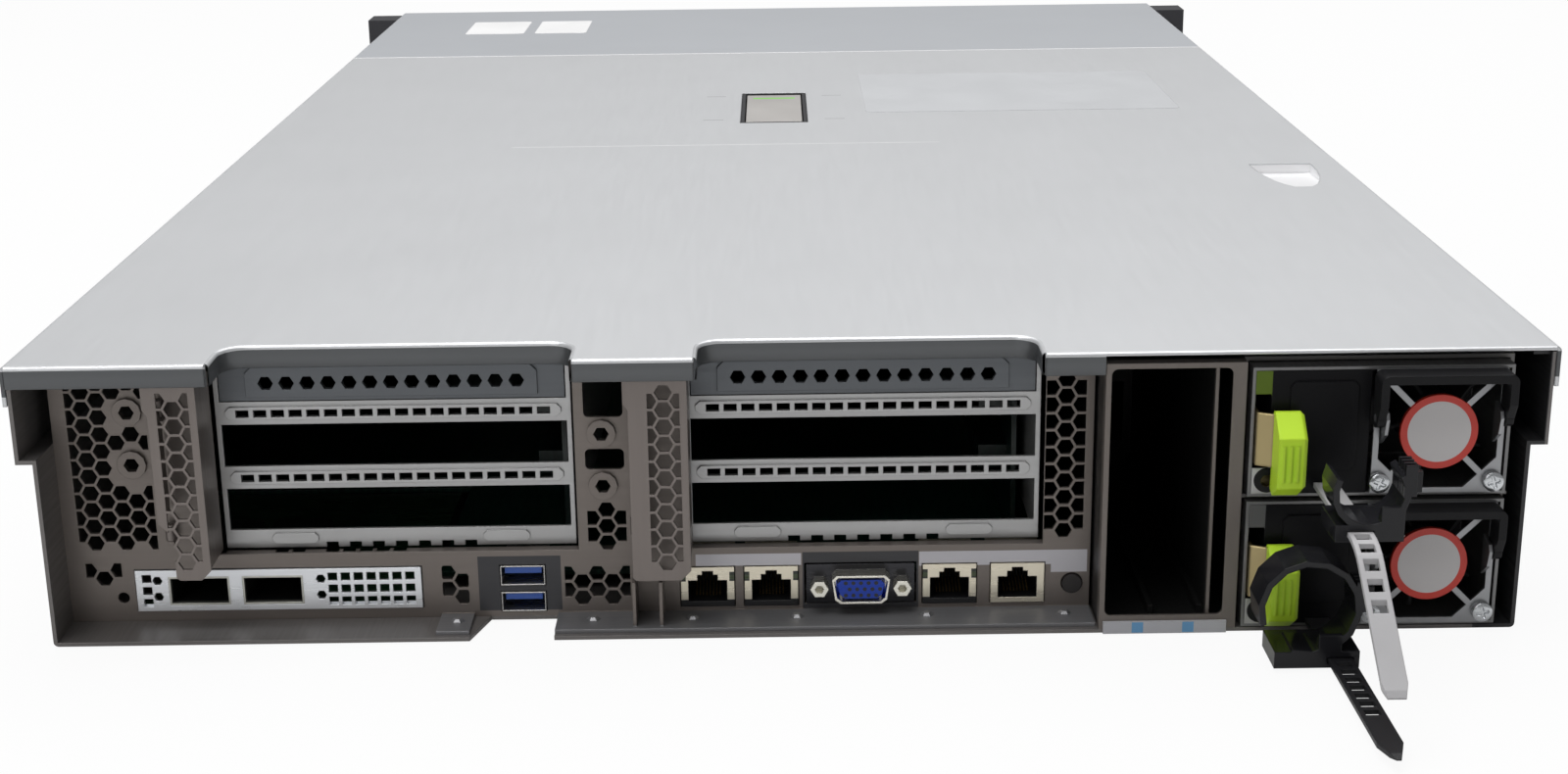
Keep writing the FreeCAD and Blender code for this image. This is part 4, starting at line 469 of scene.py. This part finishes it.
def notch_path(left, right, depth, radius):
    """Plan of the cover's edge through one notch, from its left mouth to its right mouth."""
    turn = np.linspace(0, np.pi / 2, 9)
    into = [(left + radius * (1 - math.cos(t)), depth - radius + radius * math.sin(t)) for t in turn]
    back = [(right - radius * (1 - math.cos(t)), depth - radius + radius * math.sin(t)) for t in turn[::-1]]
    return [(left, 0.0005), (left, 0.004)] + into + back + [(right, 0.004), (right, 0.0005)]


roll = [(0.0, cover_top), (0.0003, 0.08702), (0.0006, 0.0868), (0.0008, 0.0864), (0.00085, 0.0859)]
flange_side = roll + [(0.00085, 0.0845), (0.00085, 0.0806), (0.0006, 0.0804), (0.0002, 0.0804)]
plain_side = roll[:3] + [(0.0007, 0.0865), (0.0006, 0.0861), (0.0, 0.0859)]
# Painted shade: below the bend the hem's flange is coloured dark steel.
hem_steel = painted(sheet_metal("Hem_Steel", (0.66, 0.67, 0.685), 0.36, "x", 0.55, 0.03, 0.3), [
    ([dict(z=(0.0, 0.0860))], shaded_steel, 0.6)])
notch_depth, notch_radius = 0.019, 0.008
for number, (left, right) in enumerate(((-0.165, -0.060), (-0.025, 0.076))):
    plan = [(x, rear_edge + d) for x, d in notch_path(left, right, notch_depth, notch_radius)]
    hem(f"Notch_Hem_{number}", plan, flange_side, hem_steel, "cover")
for number, (left, right) in enumerate(((-0.2225, -0.1653), (-0.0597, -0.0253), (0.0763, 0.0933))):
    plan = [(x, rear_edge) for x in np.linspace(left, right, 5)]
    hem(f"Rear_Hem_{number}", plan, flange_side, hem_steel, "cover")
plan = [(x, rear_edge) for x in np.linspace(0.0933, 0.2225, 5)]
hem("Rear_Hem_3", plan, plain_side, hem_steel, "cover")


# The jacks' contacts. Eight gold-plated spring wires rise from near the floor of each socket to its back.
wire_count, wire_pitch, wire_half = 8, 0.00102, 0.0002
gold = sheet_metal("Contact_Gold", (0.40, 0.28, 0.11), 0.35, "y", 0.9)
for number, x in enumerate(jack_x):
    path = np.array([(0.0040, 0.0055), (0.0055, 0.0062), (0.0100, 0.0074), (0.0150, 0.0090)])
    points, faces = [], []
    for wire in range(wire_count):
        centre = x + wire_pitch * (wire - (wire_count - 1) / 2)
        lines = [(centre + dx, panel_face + d, z + dz) for d, z in path for dx, dz in
                 ((-wire_half, 0), (-wire_half, wire_half), (wire_half, wire_half), (wire_half, 0))]
        faces += grid_faces(4, 4, True, len(points))
        points += lines
    mesh_piece(f"Jack_Contacts_{number}", points, faces, gold, "chassis")


# The covers' labels. Blank satin film with rounded corners, a tenth of a millimetre thick, glued on.
def label(name, x, depth, made, body, corner=0.002, height=cover_top):
    """Flat film: the outline is a rectangle whose corners are quarter circles; its top lies 0.1 mm
    above the sheet and its skirt ends as far below the sheet's surface."""
    film_thickness = 0.0001
    turns = np.linspace(0, np.pi / 2, 6)
    points = []
    for cx, cy, start in ((x[1] - corner, depth[1] - corner, 0), (x[0] + corner, depth[1] - corner, 1),
                          (x[0] + corner, depth[0] + corner, 2), (x[1] - corner, depth[0] + corner, 3)):
        points += [(cx + corner * np.cos(t + start * np.pi / 2),
                    rear_edge + cy + corner * np.sin(t + start * np.pi / 2)) for t in turns]
    ring = np.array(points)
    count = len(ring)
    top = np.column_stack([ring, np.full(count, height + film_thickness)])
    foot = np.column_stack([ring, np.full(count, height - film_thickness)])
    faces = grid_faces(2, count, True) + [list(range(count))]
    return mesh_piece(name, np.concatenate([top, foot]), faces, made, body)


film = moulded("Label_Film", (0.50, 0.51, 0.525), 0.38, 0.000003, 0.02)
film_white = moulded("Label_White", (0.80, 0.80, 0.80), 0.4, 0.000003, 0.02)
label("Cover_Label", (0.040, 0.182), (0.386, 0.490), film, "cover", 0.003)
label("Front_Label_Left", (-0.175, -0.142), (0.645, 0.693), film_white, "chassis")
label("Front_Label_Right", (-0.136, -0.107), (0.645, 0.693), film_white, "chassis")


# The floor. A plain pale surface under the machine, white where the camera sees it, and keeping a
# soft shadow.
span = np.linspace(-4, 4, 2)
across, along = np.meshgrid(span, span)
ground = bpy.data.meshes.new("Floor")
corners = np.stack([across, along, 0 * across - 0.0004], -1).reshape(-1, 3)
ground.from_pydata(corners.tolist(), [], [(0, 1, 3, 2)])
floor = bpy.data.objects.new("Floor", ground)
bpy.context.scene.collection.objects.link(floor)
pale, pale_tree, pale_shader, pale_coords = blank_material("Floor_Pale")
tone = grain(pale_tree, pale_coords, 6)
pale_tree.links.new(blended(pale_tree, tone, (0.70, 0.70, 0.70), (0.74, 0.74, 0.74)),
                    pale_shader.inputs["Base Color"])
pale_shader.inputs["Roughness"].default_value = 0.7
glow = pale_tree.nodes.new("ShaderNodeEmission")
mixed = pale_tree.nodes.new("ShaderNodeMixShader")
seen = pale_tree.nodes.new("ShaderNodeLightPath").outputs["Is Camera Ray"]
pale_tree.links.new(remap(pale_tree, seen, 0.0, 0.93, 0, 1), mixed.inputs[0])
pale_tree.links.new(pale_shader.outputs[0], mixed.inputs[1])
pale_tree.links.new(glow.outputs[0], mixed.inputs[2])
pale_tree.links.new(mixed.outputs[0], pale_tree.nodes["Material Output"].inputs["Surface"])
ground.materials.append(pale)


# The light. A white backdrop for the camera, dimmer for all else, with three soft panels.
world = bpy.data.worlds.new("Room")
bpy.context.scene.world = world
world.use_nodes = True
room = world.node_tree
backdrop = room.nodes["Background"]
backdrop.inputs["Color"].default_value = (1, 1, 1, 1)
seen = room.nodes.new("ShaderNodeLightPath").outputs["Is Camera Ray"]
room.links.new(remap(room, seen, 0.27, 1.0, 0, 1), backdrop.inputs["Strength"])


def soft_panel(name, place, target, size, power):
    """A square area lamp at place that faces target."""
    lamp = bpy.data.lights.new(name, "AREA")
    lamp.size, lamp.energy = size, power
    held = bpy.data.objects.new(name, lamp)
    bpy.context.scene.collection.objects.link(held)
    z = np.array(place, float) - np.array(target, float)
    z /= np.linalg.norm(z)
    x = np.cross((0.001, 1, 0), z)
    x /= np.linalg.norm(x)
    turn = Matrix(np.stack([x, np.cross(z, x), z], 1).tolist()).to_4x4()
    held.matrix_world = Matrix.Translation(place) @ turn


soft_panel("Key", (-0.5, -0.6, 2.0), (0, 0, 0), 1.4, 27)
soft_panel("Top", (0.2, 0.7, 2.0), (0, 0, 0), 1.8, 31)
soft_panel("Rear_Fill", (-0.9, -2.0, 0.9), (0, -0.3, 0.05), 0.8, 3.5)


# The camera stands behind the machine and looks down along it.
eye = bpy.data.cameras.new("Camera")
eye.lens = 51.27
camera = bpy.data.objects.new("Camera", eye)
bpy.context.scene.collection.objects.link(camera)
camera.matrix_world = (Matrix.Translation((0.00014, -0.98154, 0.2690))
                       @ Matrix.Rotation(math.radians(-0.071), 4, "Z")
                       @ Matrix.Rotation(math.radians(90 - 17.303), 4, "X")
                       @ Matrix.Rotation(math.radians(-0.753), 4, "Z"))
bpy.context.scene.camera = camera
bpy.context.scene.view_settings.view_transform = "Standard"
